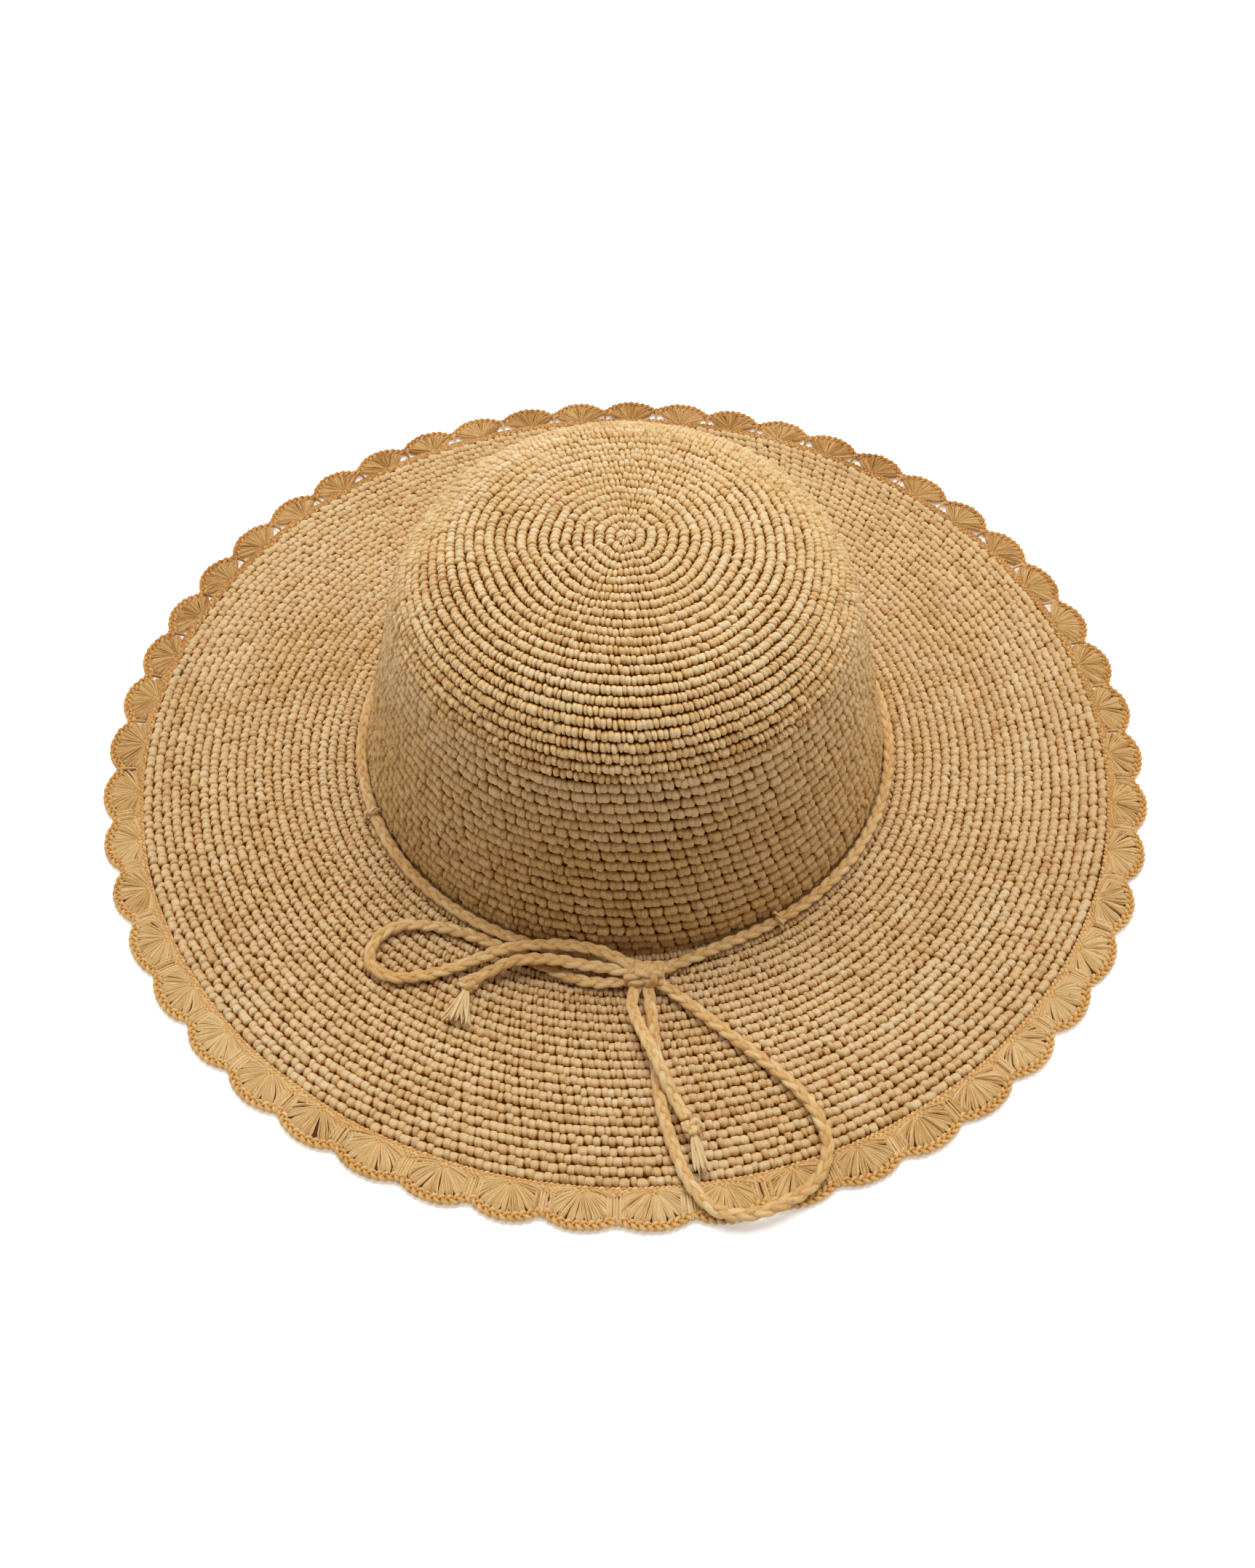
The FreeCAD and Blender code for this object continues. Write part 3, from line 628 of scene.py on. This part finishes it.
# Where a bead, which is half a stitch, is sampled: along the round, and across it on its outer and inner
# faces, where -1 to 1 is the round's own width. FLOOR is how deep the gaps go, as a share of the
# fabric's depth, and STAND is how far the beads stand out of the fabric's outline.
ALONG = np.array([0.0, 0.14, 0.36, 0.64, 0.86])
OUTER = np.array([-1.12, -0.95, -0.70, -0.30, 0.08, 0.38, 0.62, 0.80, 0.97, 1.15])
INNER = np.array([0.66, -0.66])
FLOOR = 0.66
STAND = 0.12 * MM

# A closed layer inside the fabric, between these shares of its depth
BACKING_FRONT = 0.62
BACKING_BACK = 0.80


class Stitch(NamedTuple):
    """Shape of one kind of crochet. Each stitch is two beads, and each bead is a rounded block. across is
    how far its ends draw in along the round, and below and above how far its sides draw in across it. A
    larger value makes a wider gap. middle is how deep the gap inside a stitch is, as a share of the gap
    between stitches, and zigzag how far a stitch's two beads stand apart across the round."""

    across: float
    middle: float
    below: float
    above: float
    zigzag: float


class Outline:
    """A line of radius and height that a fabric is worked along, with its length and normals."""

    def __init__(self, points):
        self.points = evenly(points, 0.25 * MM)
        self.length = np.concatenate(
            [[0], np.cumsum(np.linalg.norm(np.diff(self.points, axis=0), axis=1))])
        way = unit(np.gradient(self.points, axis=0))
        self.normals = np.stack([-way[:, 1], way[:, 0]], axis=1)
        if self.normals[:, 1].mean() < 0:
            self.normals = -self.normals

    def at(self, places):
        read = [np.interp(places, self.length, column) for column in (*self.points.T, *self.normals.T)]
        return np.stack(read[:2], -1), unit(np.stack(read[2:], -1))


def crown_outline():
    """From the middle of the top, over the dome and the shoulder, down to the foot inside the brim."""
    rise = CROWN_HEIGHT - DOME_HEIGHT
    dome = (DOME_RADIUS ** 2 / rise + rise) / 2
    radii = np.linspace(0, DOME_RADIUS, 40)
    top = np.stack([radii, CROWN_HEIGHT - dome + np.sqrt(dome ** 2 - radii ** 2)], 1)
    first = np.array([DOME_RADIUS, DOME_HEIGHT])
    last = np.array([RIM_RADIUS, RIM_HEIGHT])
    way = last - first
    half = np.linalg.norm(way) / 2
    outward = unit(np.array([-way[1], way[0]]))
    centre = (first + last) / 2 - outward * math.sqrt(SHOULDER_ROUNDING ** 2 - half ** 2)
    start = math.atan2(*(first - centre)[::-1])
    end = math.atan2(*(last - centre)[::-1])
    angles = np.linspace(start, end, 40)[1:]
    shoulder = centre + SHOULDER_ROUNDING * np.stack([np.cos(angles), np.sin(angles)], 1)
    foot = np.array([[CROWN_RADIUS, FOOT_HEIGHT], [CROWN_RADIUS, BRIM_TOP - 2.6 * MM]])
    return Outline(np.vstack([top, shoulder, foot]))


def strand_tones(stitches, rng):
    """Tone of each stitch of a round: it changes where a new strand is worked in."""
    tones = np.empty(stitches)
    place = 0
    while place < stitches:
        run = int(rng.integers(5, 24))
        tones[place:place + run] = rng.normal(0.56, 0.05)
        place += run
    return tones + rng.normal(0, 0.05, stitches)


def work_round(cloud, outline, start, end, stitches, phase, depth, kind, rng, bulge, fade):
    """One round of crochet: a closed rope of beads, two to a stitch, with slits and holes between them."""
    beads = 2 * stitches
    pitch = end - start
    samples = len(ALONG)
    second = np.arange(beads) % 2 == 1
    drift = np.clip(rng.normal(0, 0.11, beads), -0.25, 0.25) - 0.06 * second
    ahead = np.roll(drift, -1)
    places = (np.arange(beads)[:, None] + drift[:, None] + 2 * phase
              + ALONG * (1 + ahead - drift)[:, None]).ravel()
    angles = places / beads * TURN
    width = float(outline.at(np.array([start + end]) / 2)[0][0, 0]) * TURN / beads / MM
    rows = np.concatenate([OUTER, INNER])[None]
    outer_face = np.concatenate([np.ones(len(OUTER), bool), np.zeros(len(INNER), bool)])[None]

    def each(values):
        return np.repeat(values, samples)[:, None]

    def gap(values):
        """Values of the gap that a sample is nearer to: the one before its bead or the one after it."""
        return np.where(np.tile(ALONG, beads) < 0.5, np.repeat(values, samples),
                        np.repeat(np.roll(values, -1), samples))[:, None]

    strength = np.where(second, kind.middle, 1.0)
    zigzag = kind.zigzag * np.where(second, 0.5, -0.5)
    shift = each(np.clip(rng.normal(0, 0.10, beads), -0.22, 0.22) + zigzag)
    lean = (rows + 0.2) * gap(rng.normal(0.20, 0.24, beads)) * pitch / 2 / MM
    from_gap = np.tile(np.where(ALONG < 0.5, ALONG, ALONG - 1) * width, beads)[:, None] - lean * 0.6
    away = 1 - np.clip(np.abs(from_gap) / (width / 2), 0, 1)
    across = kind.across * gap(strength * rng.uniform(0.6, 1.35, beads)) * (1 + 0.35 * rows)
    below = kind.below * each(rng.uniform(0.86, 1.12, beads))
    drawn_in = np.where(rows > 0, below, kind.above) * np.abs(rows - 0.06) ** 2.8
    out = (across * away ** 2.1 + drawn_in) ** 0.4
    # Painted shade: how far a sample lies in a gap between beads or between rounds, which the raffia
    # darkens
    gap_shade = np.clip((out - 0.68) / 0.36, 0, 1) ** 1.2
    edge = np.clip(1 - (np.abs(rows) / 1.15) ** 2.6, 0, 1) ** 0.5
    dome = edge * np.clip(1.06 - np.clip(out, 0, 1.04) ** 3.0, 0.04, 1) ** 0.5
    height = each(np.clip(rng.normal(1.0, 0.12, beads), 0.75, 1.20))
    floor = -FLOOR * depth
    top = floor + (STAND - floor) * dome * height
    under = floor - (depth + floor) * np.clip(1 - (np.abs(rows) / 1.1) ** 3, 0, 1) ** 0.5
    rise = np.where(outer_face, top + bulge(angles)[:, None], under)
    wave = 2.4 * bulge(angles + 0.7)[:, None]
    along = np.clip(start + pitch * (0.5 + 0.5 * (rows + shift * edge)) + wave, 0, outline.length[-1])
    base, normal = outline.at(along)
    place = base + normal * rise[..., None]
    points = round_axis(place[..., 0], angles[:, None], place[..., 1])
    number = each(rng.uniform(0, 400, beads))
    run = np.tile(ALONG, beads)[:, None] * width
    fibre = np.stack(np.broadcast_arrays(number + run * 2.6, rows * pitch / MM * 0.34 + run * 0.12,
                                         number * 0.37 + ~outer_face), -1)
    # Painted shade for the material: the gaps on the outer face, and a little shade on the inner face
    shade = np.where(outer_face, gap_shade, 0.45 * (1 - edge))
    tone = fade + np.repeat(strand_tones(stitches, rng), 2) + rng.normal(0, 0.05, beads)
    cloud.grid(points, each(tone), shade, fibre)


def gentle(rng, size):
    """Soft unevenness of a whole round, which changes slowly from round to round."""
    parts = [(number, rng.uniform(0, TURN), rng.normal() * size) for number in range(2, 9)]
    return lambda angles, level: sum(
        high * np.cos(number * angles + phase + level * 0.11 * (number - 4))
        for number, phase, high in parts)


def backing(cloud, outline, depth):
    """The base of the stitches, inside the fabric: no light passes between rounds. It is drawn dark, in
    painted deep shade.
    """
    angles = np.linspace(0, TURN, 360, endpoint=False)
    places = np.arange(0.4 * MM, outline.length[-1], 2.0 * MM)
    base, normal = outline.at(places)
    front = base - normal * BACKING_FRONT * depth
    back = base - normal * BACKING_BACK * depth
    loop = np.vstack([front, back[::-1]])
    points = round_axis(loop[:, 0], angles[:, None], loop[:, 1])
    cloud.grid(points, 0.3, 0.75, points * 300)


def work_fabric(name, outline, edges, counts, first, depth, kind, material, seed, unevenness,
                fade=NO_FADE):
    """All rounds of one section. edges are the places where its rounds meet, along the outline, counts
    the stitches of each, and first the number of rounds before it."""
    rng = np.random.default_rng(seed)
    cloud = Cloud()
    uneven = gentle(np.random.default_rng(5), unevenness)
    for number, (start, end) in enumerate(zip(edges, edges[1:])):
        work_round(cloud, outline, start, end, counts[number], LEAN * (first + number), depth, kind, rng,
                   lambda angles, number=number: uneven(angles, number), np.interp(number, *fade))
    backing(cloud, outline, depth)
    return cloud.make(name, material)


TOP_STITCH = Stitch(across=0.74, middle=0.90, below=1.10, above=0.74, zigzag=0.16)
SIDE_STITCH = Stitch(across=0.76, middle=0.30, below=1.60, above=0.66, zigzag=0.14)
BRIM_STITCH = Stitch(across=0.66, middle=0.90, below=1.02, above=0.56, zigzag=0.34)

crown_line = crown_outline()
rim_length = float(np.interp(-RIM_HEIGHT, -crown_line.points[:, 1], crown_line.length))
tip_edges = np.concatenate([TOP_PITCH * np.arange(TOP_ROUNDS),
                            np.linspace(TOP_PITCH * TOP_ROUNDS, rim_length, TIP_ROUNDS - TOP_ROUNDS + 1)])
tip_counts = [min(TOP_INCREASE * (number + 1), SIDE_STITCHES) for number in range(TIP_ROUNDS)]
crown_tip = work_fabric("crown_tip_crochet", crown_line, tip_edges, tip_counts, 0, WALL, TOP_STITCH,
                        CROWN_RAFFIA, 51, 0.05 * MM, TOP_FADE)
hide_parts("crown_tip")
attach(crown_tip, "hat")

side_edges = np.linspace(rim_length, crown_line.length[-1], SIDE_ROUNDS + 1)
crown_side = work_fabric("crown_side_crochet", crown_line, side_edges, [SIDE_STITCHES] * SIDE_ROUNDS,
                         TIP_ROUNDS, WALL, SIDE_STITCH, SHADED_SIDE_RAFFIA, 52, 0.05 * MM,
                         SIDE_FADE)
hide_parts("crown_side")
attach(crown_side, "hat")

brim_line = Outline(np.array([[CROWN_RADIUS - UNDER_CROWN, BRIM_TOP],
                              [BRIM_RADIUS + UNDER_EDGING, BRIM_TOP]]))
brim_edges = np.linspace(2.2 * MM, brim_line.length[-1] - 2.0 * MM, BRIM_ROUNDS + 1)
brim = work_fabric("brim_crochet", brim_line, brim_edges, [BRIM_STITCHES] * BRIM_ROUNDS, 0,
                   BRIM_TOP - 0.20 * MM, BRIM_STITCH, BRIM_RAFFIA, 53, 0.02 * MM)
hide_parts("brim", "brim_back")

# ------------ Shell edging and its border ------------

# Each shell ends in an arc round its middle, and a smaller arc joins it to the next one. SHELL_X and
# SHELL_Y are the shell's middle, seen from the line between two shells, VALLEY is how far along that line
# the smaller arc's middle is, and JOIN the direction in which the two arcs meet.
MIDDLE = BRIM_TOP / 2
HALF_PITCH = math.pi / SHELLS
SHELL_MIDDLE = SHELL_TIP - SHELL_ROUNDING
SHELL_X = SHELL_MIDDLE * math.cos(HALF_PITCH)
SHELL_Y = SHELL_MIDDLE * math.sin(HALF_PITCH)
BRIDGE = SHELL_ROUNDING + VALLEY_ROUNDING
VALLEY = SHELL_X + math.sqrt(BRIDGE ** 2 - SHELL_Y ** 2)
JOIN = math.atan2(SHELL_Y, VALLEY - SHELL_X)


def scallop_line():
    """Closed line along the tips of the shells and the valleys between them, of tangent arcs."""
    points = []
    for number in range(SHELLS):
        axis = FIRST_SHELL + 2 * HALF_PITCH * number
        centre = SHELL_MIDDLE * np.array([math.cos(axis), math.sin(axis)])
        sweep = np.linspace(-(JOIN + HALF_PITCH), JOIN + HALF_PITCH, 40)
        points.append(centre + SHELL_ROUNDING * np.stack([np.cos(axis + sweep), np.sin(axis + sweep)], 1))
        centre = VALLEY * np.array([math.cos(axis + HALF_PITCH), math.sin(axis + HALF_PITCH)])
        back = axis + HALF_PITCH + math.pi
        sweep = np.linspace(JOIN, -JOIN, 14)[1:-1]
        points.append(centre + VALLEY_ROUNDING * np.stack([np.cos(back + sweep), np.sin(back + sweep)], 1))
    flat = np.vstack(points)
    flat = np.vstack([flat, flat[:1]])
    return evenly(np.column_stack([flat, np.full(len(flat), MIDDLE)]), 0.55 * MM)[:-1]


SCALLOPS = scallop_line()
SCALLOP_ANGLES = np.arctan2(SCALLOPS[:, 1], SCALLOPS[:, 0])
BY_ANGLE = np.argsort(SCALLOP_ANGLES)
BORDER_ANGLES = SCALLOP_ANGLES[BY_ANGLE]
BORDER_RADII = np.hypot(*SCALLOPS[BY_ANGLE, :2].T)


def even_out(points):
    """Draws the fabric between two shells outwards, most at the front, where the scallops are shallow."""
    radius = np.hypot(points[..., 0], points[..., 1])
    angle = np.arctan2(points[..., 1], points[..., 0])
    border = np.interp(angle, BORDER_ANGLES, BORDER_RADII, period=TURN)
    valley = (angle - FIRST_SHELL) / (2 * HALF_PITCH)
    uneven = 0.14 * np.sin(1.9 * valley) * np.sin(0.37 * valley)
    share = 0.16 + 0.34 * (0.5 - 0.5 * np.sin(angle)) ** 2 + uneven
    target = border + np.clip(share, 0, 1) * np.clip(SHELL_TIP - border, 0, None)
    scale = np.clip((target - BRIM_RADIUS) / (border - BRIM_RADIUS), 1, 2)
    moved = np.where(radius > BRIM_RADIUS, BRIM_RADIUS + (radius - BRIM_RADIUS) * scale, radius) / radius
    return points * np.stack([moved, moved, np.ones_like(moved)], -1)


def shade_towards_back(angle):
    """Painted shade round the edge: the tone is darker and browner towards the back, which lies in shade.
    """
    return -0.32 * np.clip(np.sin(angle) + 0.45, 0, 1) ** 0.7


def scallop_border():
    """Chain along the scallops."""
    cloud = Cloud()
    rng = np.random.default_rng(61)
    # The chain's tone darkens towards the back: painted shade
    plait(cloud, even_out(SCALLOPS), rng, width=2 * BORDER_RADIUS * 1.05, pitch=7.4 * MM, height=0.9,
          closed=True, sides=8, swing=0.28, hollow=1.10, back_shading=shade_towards_back(SCALLOP_ANGLES))
    piece = cloud.make("scallop_border_chain", EDGE_RAFFIA)
    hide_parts("scallop_border", "scallop_border_back")
    return piece


def shell_reach(lean):
    """How far the border is from the middle of a shell, at an angle from the shell's own direction."""
    past = abs(lean) - (JOIN + HALF_PITCH)
    if past < 0:
        return SHELL_ROUNDING
    off = math.sin(past) * BRIDGE
    ahead = math.cos(past) * BRIDGE
    if off < VALLEY_ROUNDING:
        return ahead - math.sqrt(VALLEY_ROUNDING ** 2 - off ** 2)
    return SHELL_Y / math.sin(abs(lean) - HALF_PITCH)


def shell_post(cloud, centre, direction, reach, tone, rng):
    """One post of a shell: five strands that spread out from its foot and close at its tip."""
    way = np.array([math.cos(direction), math.sin(direction), 0])
    cross = np.array([-way[1], way[0], 0])
    for fold in range(-2, 3):
        t = np.linspace(0.10, 1, 10)[:, None]
        bend = rng.normal(0, 0.22) * MM
        close = 1 - 0.60 * np.clip((t - 0.78) / 0.22, 0, 1) ** 2
        spread = (fold + rng.normal(0, 0.2)) * (0.05 + 0.56 * t) * close * MM
        line = centre + way * reach * t + cross * (spread + bend * np.sin(math.pi * t))
        rise = (0.22 * max(rng.normal(), -1.2) + 0.30 - 0.12 * abs(fold)) * np.sin(math.pi * t) * MM
        line = even_out(line + np.array([0, 0, 1]) * rise)
        _, side, lift = frames(line, up=(0, 0, 1))
        wide = (0.24 + 0.22 * t[:, 0]) * MM * rng.uniform(0.85, 1.15)
        strand(cloud, line, side, lift, wide, 1.15 * MM * (0.85 + 0.15 * t[:, 0]),
               tone + rng.normal(0, 0.13), rng, sides=6, lobes=2)


def valley_strand(cloud, direction, fold, tone, rng):
    """A strand that runs straight out from the brim between two shells."""
    valley = direction + (0.9 * fold + rng.normal(0, 0.15)) * MM / BRIM_RADIUS
    reach = (6.9 - 0.25 * abs(fold) + rng.normal(0, 0.2)) * MM
    radii = BRIM_RADIUS + 1.2 * MM + reach * np.linspace(0, 1, 8)
    line = even_out(np.stack([radii * math.cos(valley), radii * math.sin(valley),
                              MIDDLE + (0.1 + 0.5 * np.sin(np.linspace(0.2, 2.9, 8))) * MM], 1))
    _, side, lift = frames(line, up=(0, 0, 1))
    strand(cloud, line, side, lift, rng.uniform(0.42, 0.60) * MM, 0.8 * MM, tone + rng.normal(0, 0.12),
           rng, sides=6, lobes=2)


def shell_web(cloud, centre, axis, widest, number):
    """A thin closed layer inside a shell, so that no light passes between its posts. It is drawn dark, in
    painted deep shade.
    """
    lean = np.radians(np.linspace(-widest, widest, 23))[:, None]
    reach = np.array([[shell_reach(float(value)) + 0.3 * MM] for value in lean[:, 0]])
    t = np.array([0.1, 0.4, 0.7, 0.97, 1.0, 0.97, 0.7, 0.4])[None]
    thick = 0.35 * MM * (np.abs(lean) < abs(lean[0]) - 1e-6)
    level = np.array([0.0, 1, 1, 1, 0, -1, -1, -1])[None] * thick
    flat = np.stack([np.cos(axis + lean) * t * reach, np.sin(axis + lean) * t * reach, level], -1)
    fibre = np.stack(np.broadcast_arrays(lean * 30, t * 3, 0 * lean * t + number), -1)
    cloud.grid(even_out(centre + flat), 0.25, 0.92, fibre, closed=(False, True))


def shell_edging():
    """Fans of posts out of the brim's last round, which cross a ring of two chains. Towards the back the
    fans are narrower, which opens eyelets between them. At the front strands fill the valleys."""
    cloud = Cloud()
    rng = np.random.default_rng(62)
    angles = np.linspace(0, TURN, 1530, endpoint=False)
    for radius in (BRIM_RADIUS + 0.2 * MM, BRIM_RADIUS + 1.5 * MM):
        ring = radius + 0.12 * MM * waves(angles, rng, 5, 30)
        # The chains' tone darkens towards the back: painted shade
        plait(cloud, round_axis(ring, angles, MIDDLE), rng, width=2.2 * MM, pitch=5.2 * MM, height=1.0,
              closed=True, sides=7, swing=0.27, hollow=1.05, back_shading=shade_towards_back(angles))
    for number in range(SHELLS):
        axis = FIRST_SHELL + 2 * HALF_PITCH * number
        centre = SHELL_MIDDLE * np.array([math.cos(axis), math.sin(axis), 0]) + np.array([0, 0, MIDDLE])
        # Each shell's tone darkens towards the back: painted shade
        tone = rng.normal(0.58, 0.07) + float(shade_towards_back(axis))
        opened = min((math.sin(axis + HALF_PITCH) + 0.1) / 0.7, 1)
        widest = 80 - 23 * max(opened, 0)
        for post in range(POSTS):
            lean = math.radians(widest * (2 * post / (POSTS - 1) - 1)) + rng.normal(0, 0.03)
            shell_post(cloud, centre, axis + lean, shell_reach(lean) - 0.5 * MM, tone, rng)
        for fold in range(-3, 4) if opened < 0 else [0]:
            valley_strand(cloud, axis + HALF_PITCH, fold, tone, rng)
        shell_web(cloud, centre, axis, 100 if opened < 0 else 66 - 20 * opened, number)
    piece = cloud.make("shell_edging_posts", EDGE_RAFFIA)
    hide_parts("shell_edging", "shell_edging_back")
    return piece


edging = shell_edging()
border = scallop_border()

# ------------ Brim wire, ferrule, sweatband and its stitches ------------


def brim_wire():
    """Covered wire all round the brim, inside its last rounds."""
    low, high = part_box("brim_wire")
    radius = (high.z - low.z) / 2
    ring = high.x - radius
    angles = np.linspace(0, TURN, 720, endpoint=False)
    line = round_axis(ring, angles, (low.z + high.z) / 2)
    _, side, lift = frames(line, closed=True, up=(0, 0, 1))
    cloud = Cloud()
    strand(cloud, line, side, lift, radius, radius, 0.5, np.random.default_rng(71), sides=12, lobes=0,
           closed=True)
    piece = cloud.make("brim_wire_ring", WIRE_COVER)
    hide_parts("brim_wire", "brim_wire_back")
    return piece


def sweatband():
    """Cotton tape inside the foot of the crown, with rolled edges and an overlap at the back."""
    lean = math.atan((CROWN_RADIUS - RIM_RADIUS) / (RIM_HEIGHT - FOOT_HEIGHT))
    bend = FOOT_HEIGHT - (WALL + BAND_THICKNESS) * math.tan(lean / 2)
    heights = np.linspace(BAND_LOW.z, BAND_HIGH.z, 34)
    radii = HEAD_RADIUS - np.clip(heights - bend, 0, None) * math.tan(lean)
    edge = np.minimum(heights - heights[0], heights[-1] - heights) / MM
    rolled = np.where(edge < 1.6, 0.18 * np.sin(np.clip(edge, 0, 1.6) / 1.6 * math.pi), 0) * MM
    angles = np.linspace(0, TURN, 540, endpoint=False)
    lap = np.clip(1 - np.abs((angles - TURN / 4) * HEAD_RADIUS / (BAND_LAP / 2)) ** 6, 0, 1) * 0.35 * MM
    inner = radii[:, None] - rolled[:, None] - lap[None]
    outer = np.broadcast_to(radii[::-1, None] + BAND_THICKNESS * 0.96, inner.shape)
    radius = np.vstack([inner, outer])
    z = np.concatenate([heights, heights[::-1]])[:, None]
    fibre = np.stack([radius * angles / MM, z / MM + 0 * radius, 0 * radius], -1)
    cloud = Cloud()
    cloud.grid(round_axis(radius, angles, z), 0.5, 0.0, fibre)
    piece = cloud.make("sweatband_tape", COTTON_TAPE)
    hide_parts("sweatband")
    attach(piece, "hat")


def sweatband_stitches():
    """Short stitches of thread that dip into the tape at both ends."""
    low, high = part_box("sweatband_stitching")
    height = (low.z + high.z) / 2
    cloud = Cloud()
    rng = np.random.default_rng(81)
    t = np.linspace(0, 1, 9)
    radius = HEAD_RADIUS + 0.35 * MM - 0.65 * MM * np.sin(math.pi * t) ** 0.5
    for number in range(BAND_STITCHES):
        angles = TURN * number / BAND_STITCHES + t * BAND_STITCH_LENGTH / HEAD_RADIUS
        line = round_axis(radius, angles, height + rng.normal(0, 0.12) * MM * t)
        _, side, lift = frames(line)
        strand(cloud, line, side, lift, 0.32 * MM, 0.32 * MM, 0.7 + rng.normal(0, 0.05), rng, sides=7,
               lobes=2)
    piece = cloud.make("sweatband_threads", THREAD)
    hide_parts("sweatband_stitching")
    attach(piece, "hat")


wire = brim_wire()
sweatband()
sweatband_stitches()
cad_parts["wire_ferrule"].data.materials.clear()
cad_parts["wire_ferrule"].data.materials.append(FERRULE_BRASS)

for piece in (brim, edging, border, wire):
    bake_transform(piece)

# ------------ Floor and light ------------


def stage(name, rings, colour, glow):
    """A surface of revolution round the hat, from its radii and heights. colour is a grey from 0 to 1."""
    cloud = Cloud()
    angles = np.linspace(0, TURN, 96, endpoint=False)
    rings = np.array(rings)
    points = round_axis(rings[:, :1], angles, rings[:, 1:])
    cloud.grid(points, 0.0, 0.0, 0.0 * points, closed=(False, True))
    paper = Nodes(name + "_paper")
    grain = paper.add("TexNoise", Scale=300.0, Detail=2.0).outputs["Fac"]
    tint = paper.ramp(grain, (0.3, (colour - 0.01,) * 3 + (1,)), (0.7, (colour,) * 3 + (1,)))
    paper.set(Base_Color=tint, Roughness=0.9, Emission_Color=WHITE, Emission_Strength=glow)
    piece = cloud.make(name, paper.material)
    return piece


def softbox(name, location, size, power):
    """A round area light that faces the middle of the hat's foot."""
    light = bpy.data.lights.new(name, "AREA")
    light.shape = "DISK"
    light.size = size
    light.energy = power
    lamp = bpy.data.objects.new(name, light)
    lamp.location = location
    lamp.rotation_mode = "QUATERNION"
    lamp.rotation_quaternion = (-Vector(location)).to_track_quat("-Z", "Y")
    bpy.context.scene.collection.objects.link(lamp)


stage("floor", [(0.001, 0), (0.5, 0), (1, 0), (1.7, 0)], 0.93, 0.30)
backdrop = stage("backdrop", [(1.7, 0), (6, -0.01), (8, 2), (7, 5), (4, 7.5), (0.01, 8.5)], 0.02, 0.96)
backdrop.visible_diffuse = False
backdrop.visible_glossy = False
backdrop.visible_shadow = False
softbox("overhead_softbox", (0.1, 0.45, 1.7), 1.2, 25)
softbox("left_softbox", (-1.5, 0.3, 0.75), 0.9, 6)
softbox("right_softbox", (1.5, 0.3, 0.75), 0.9, 5)
world = bpy.data.worlds.new("studio")
bpy.context.scene.world = world
world.use_nodes = True
world.node_tree.nodes["Background"].inputs["Color"].default_value = WHITE
world.node_tree.nodes["Background"].inputs["Strength"].default_value = 0.26
bpy.context.scene.view_settings.view_transform = "Standard"
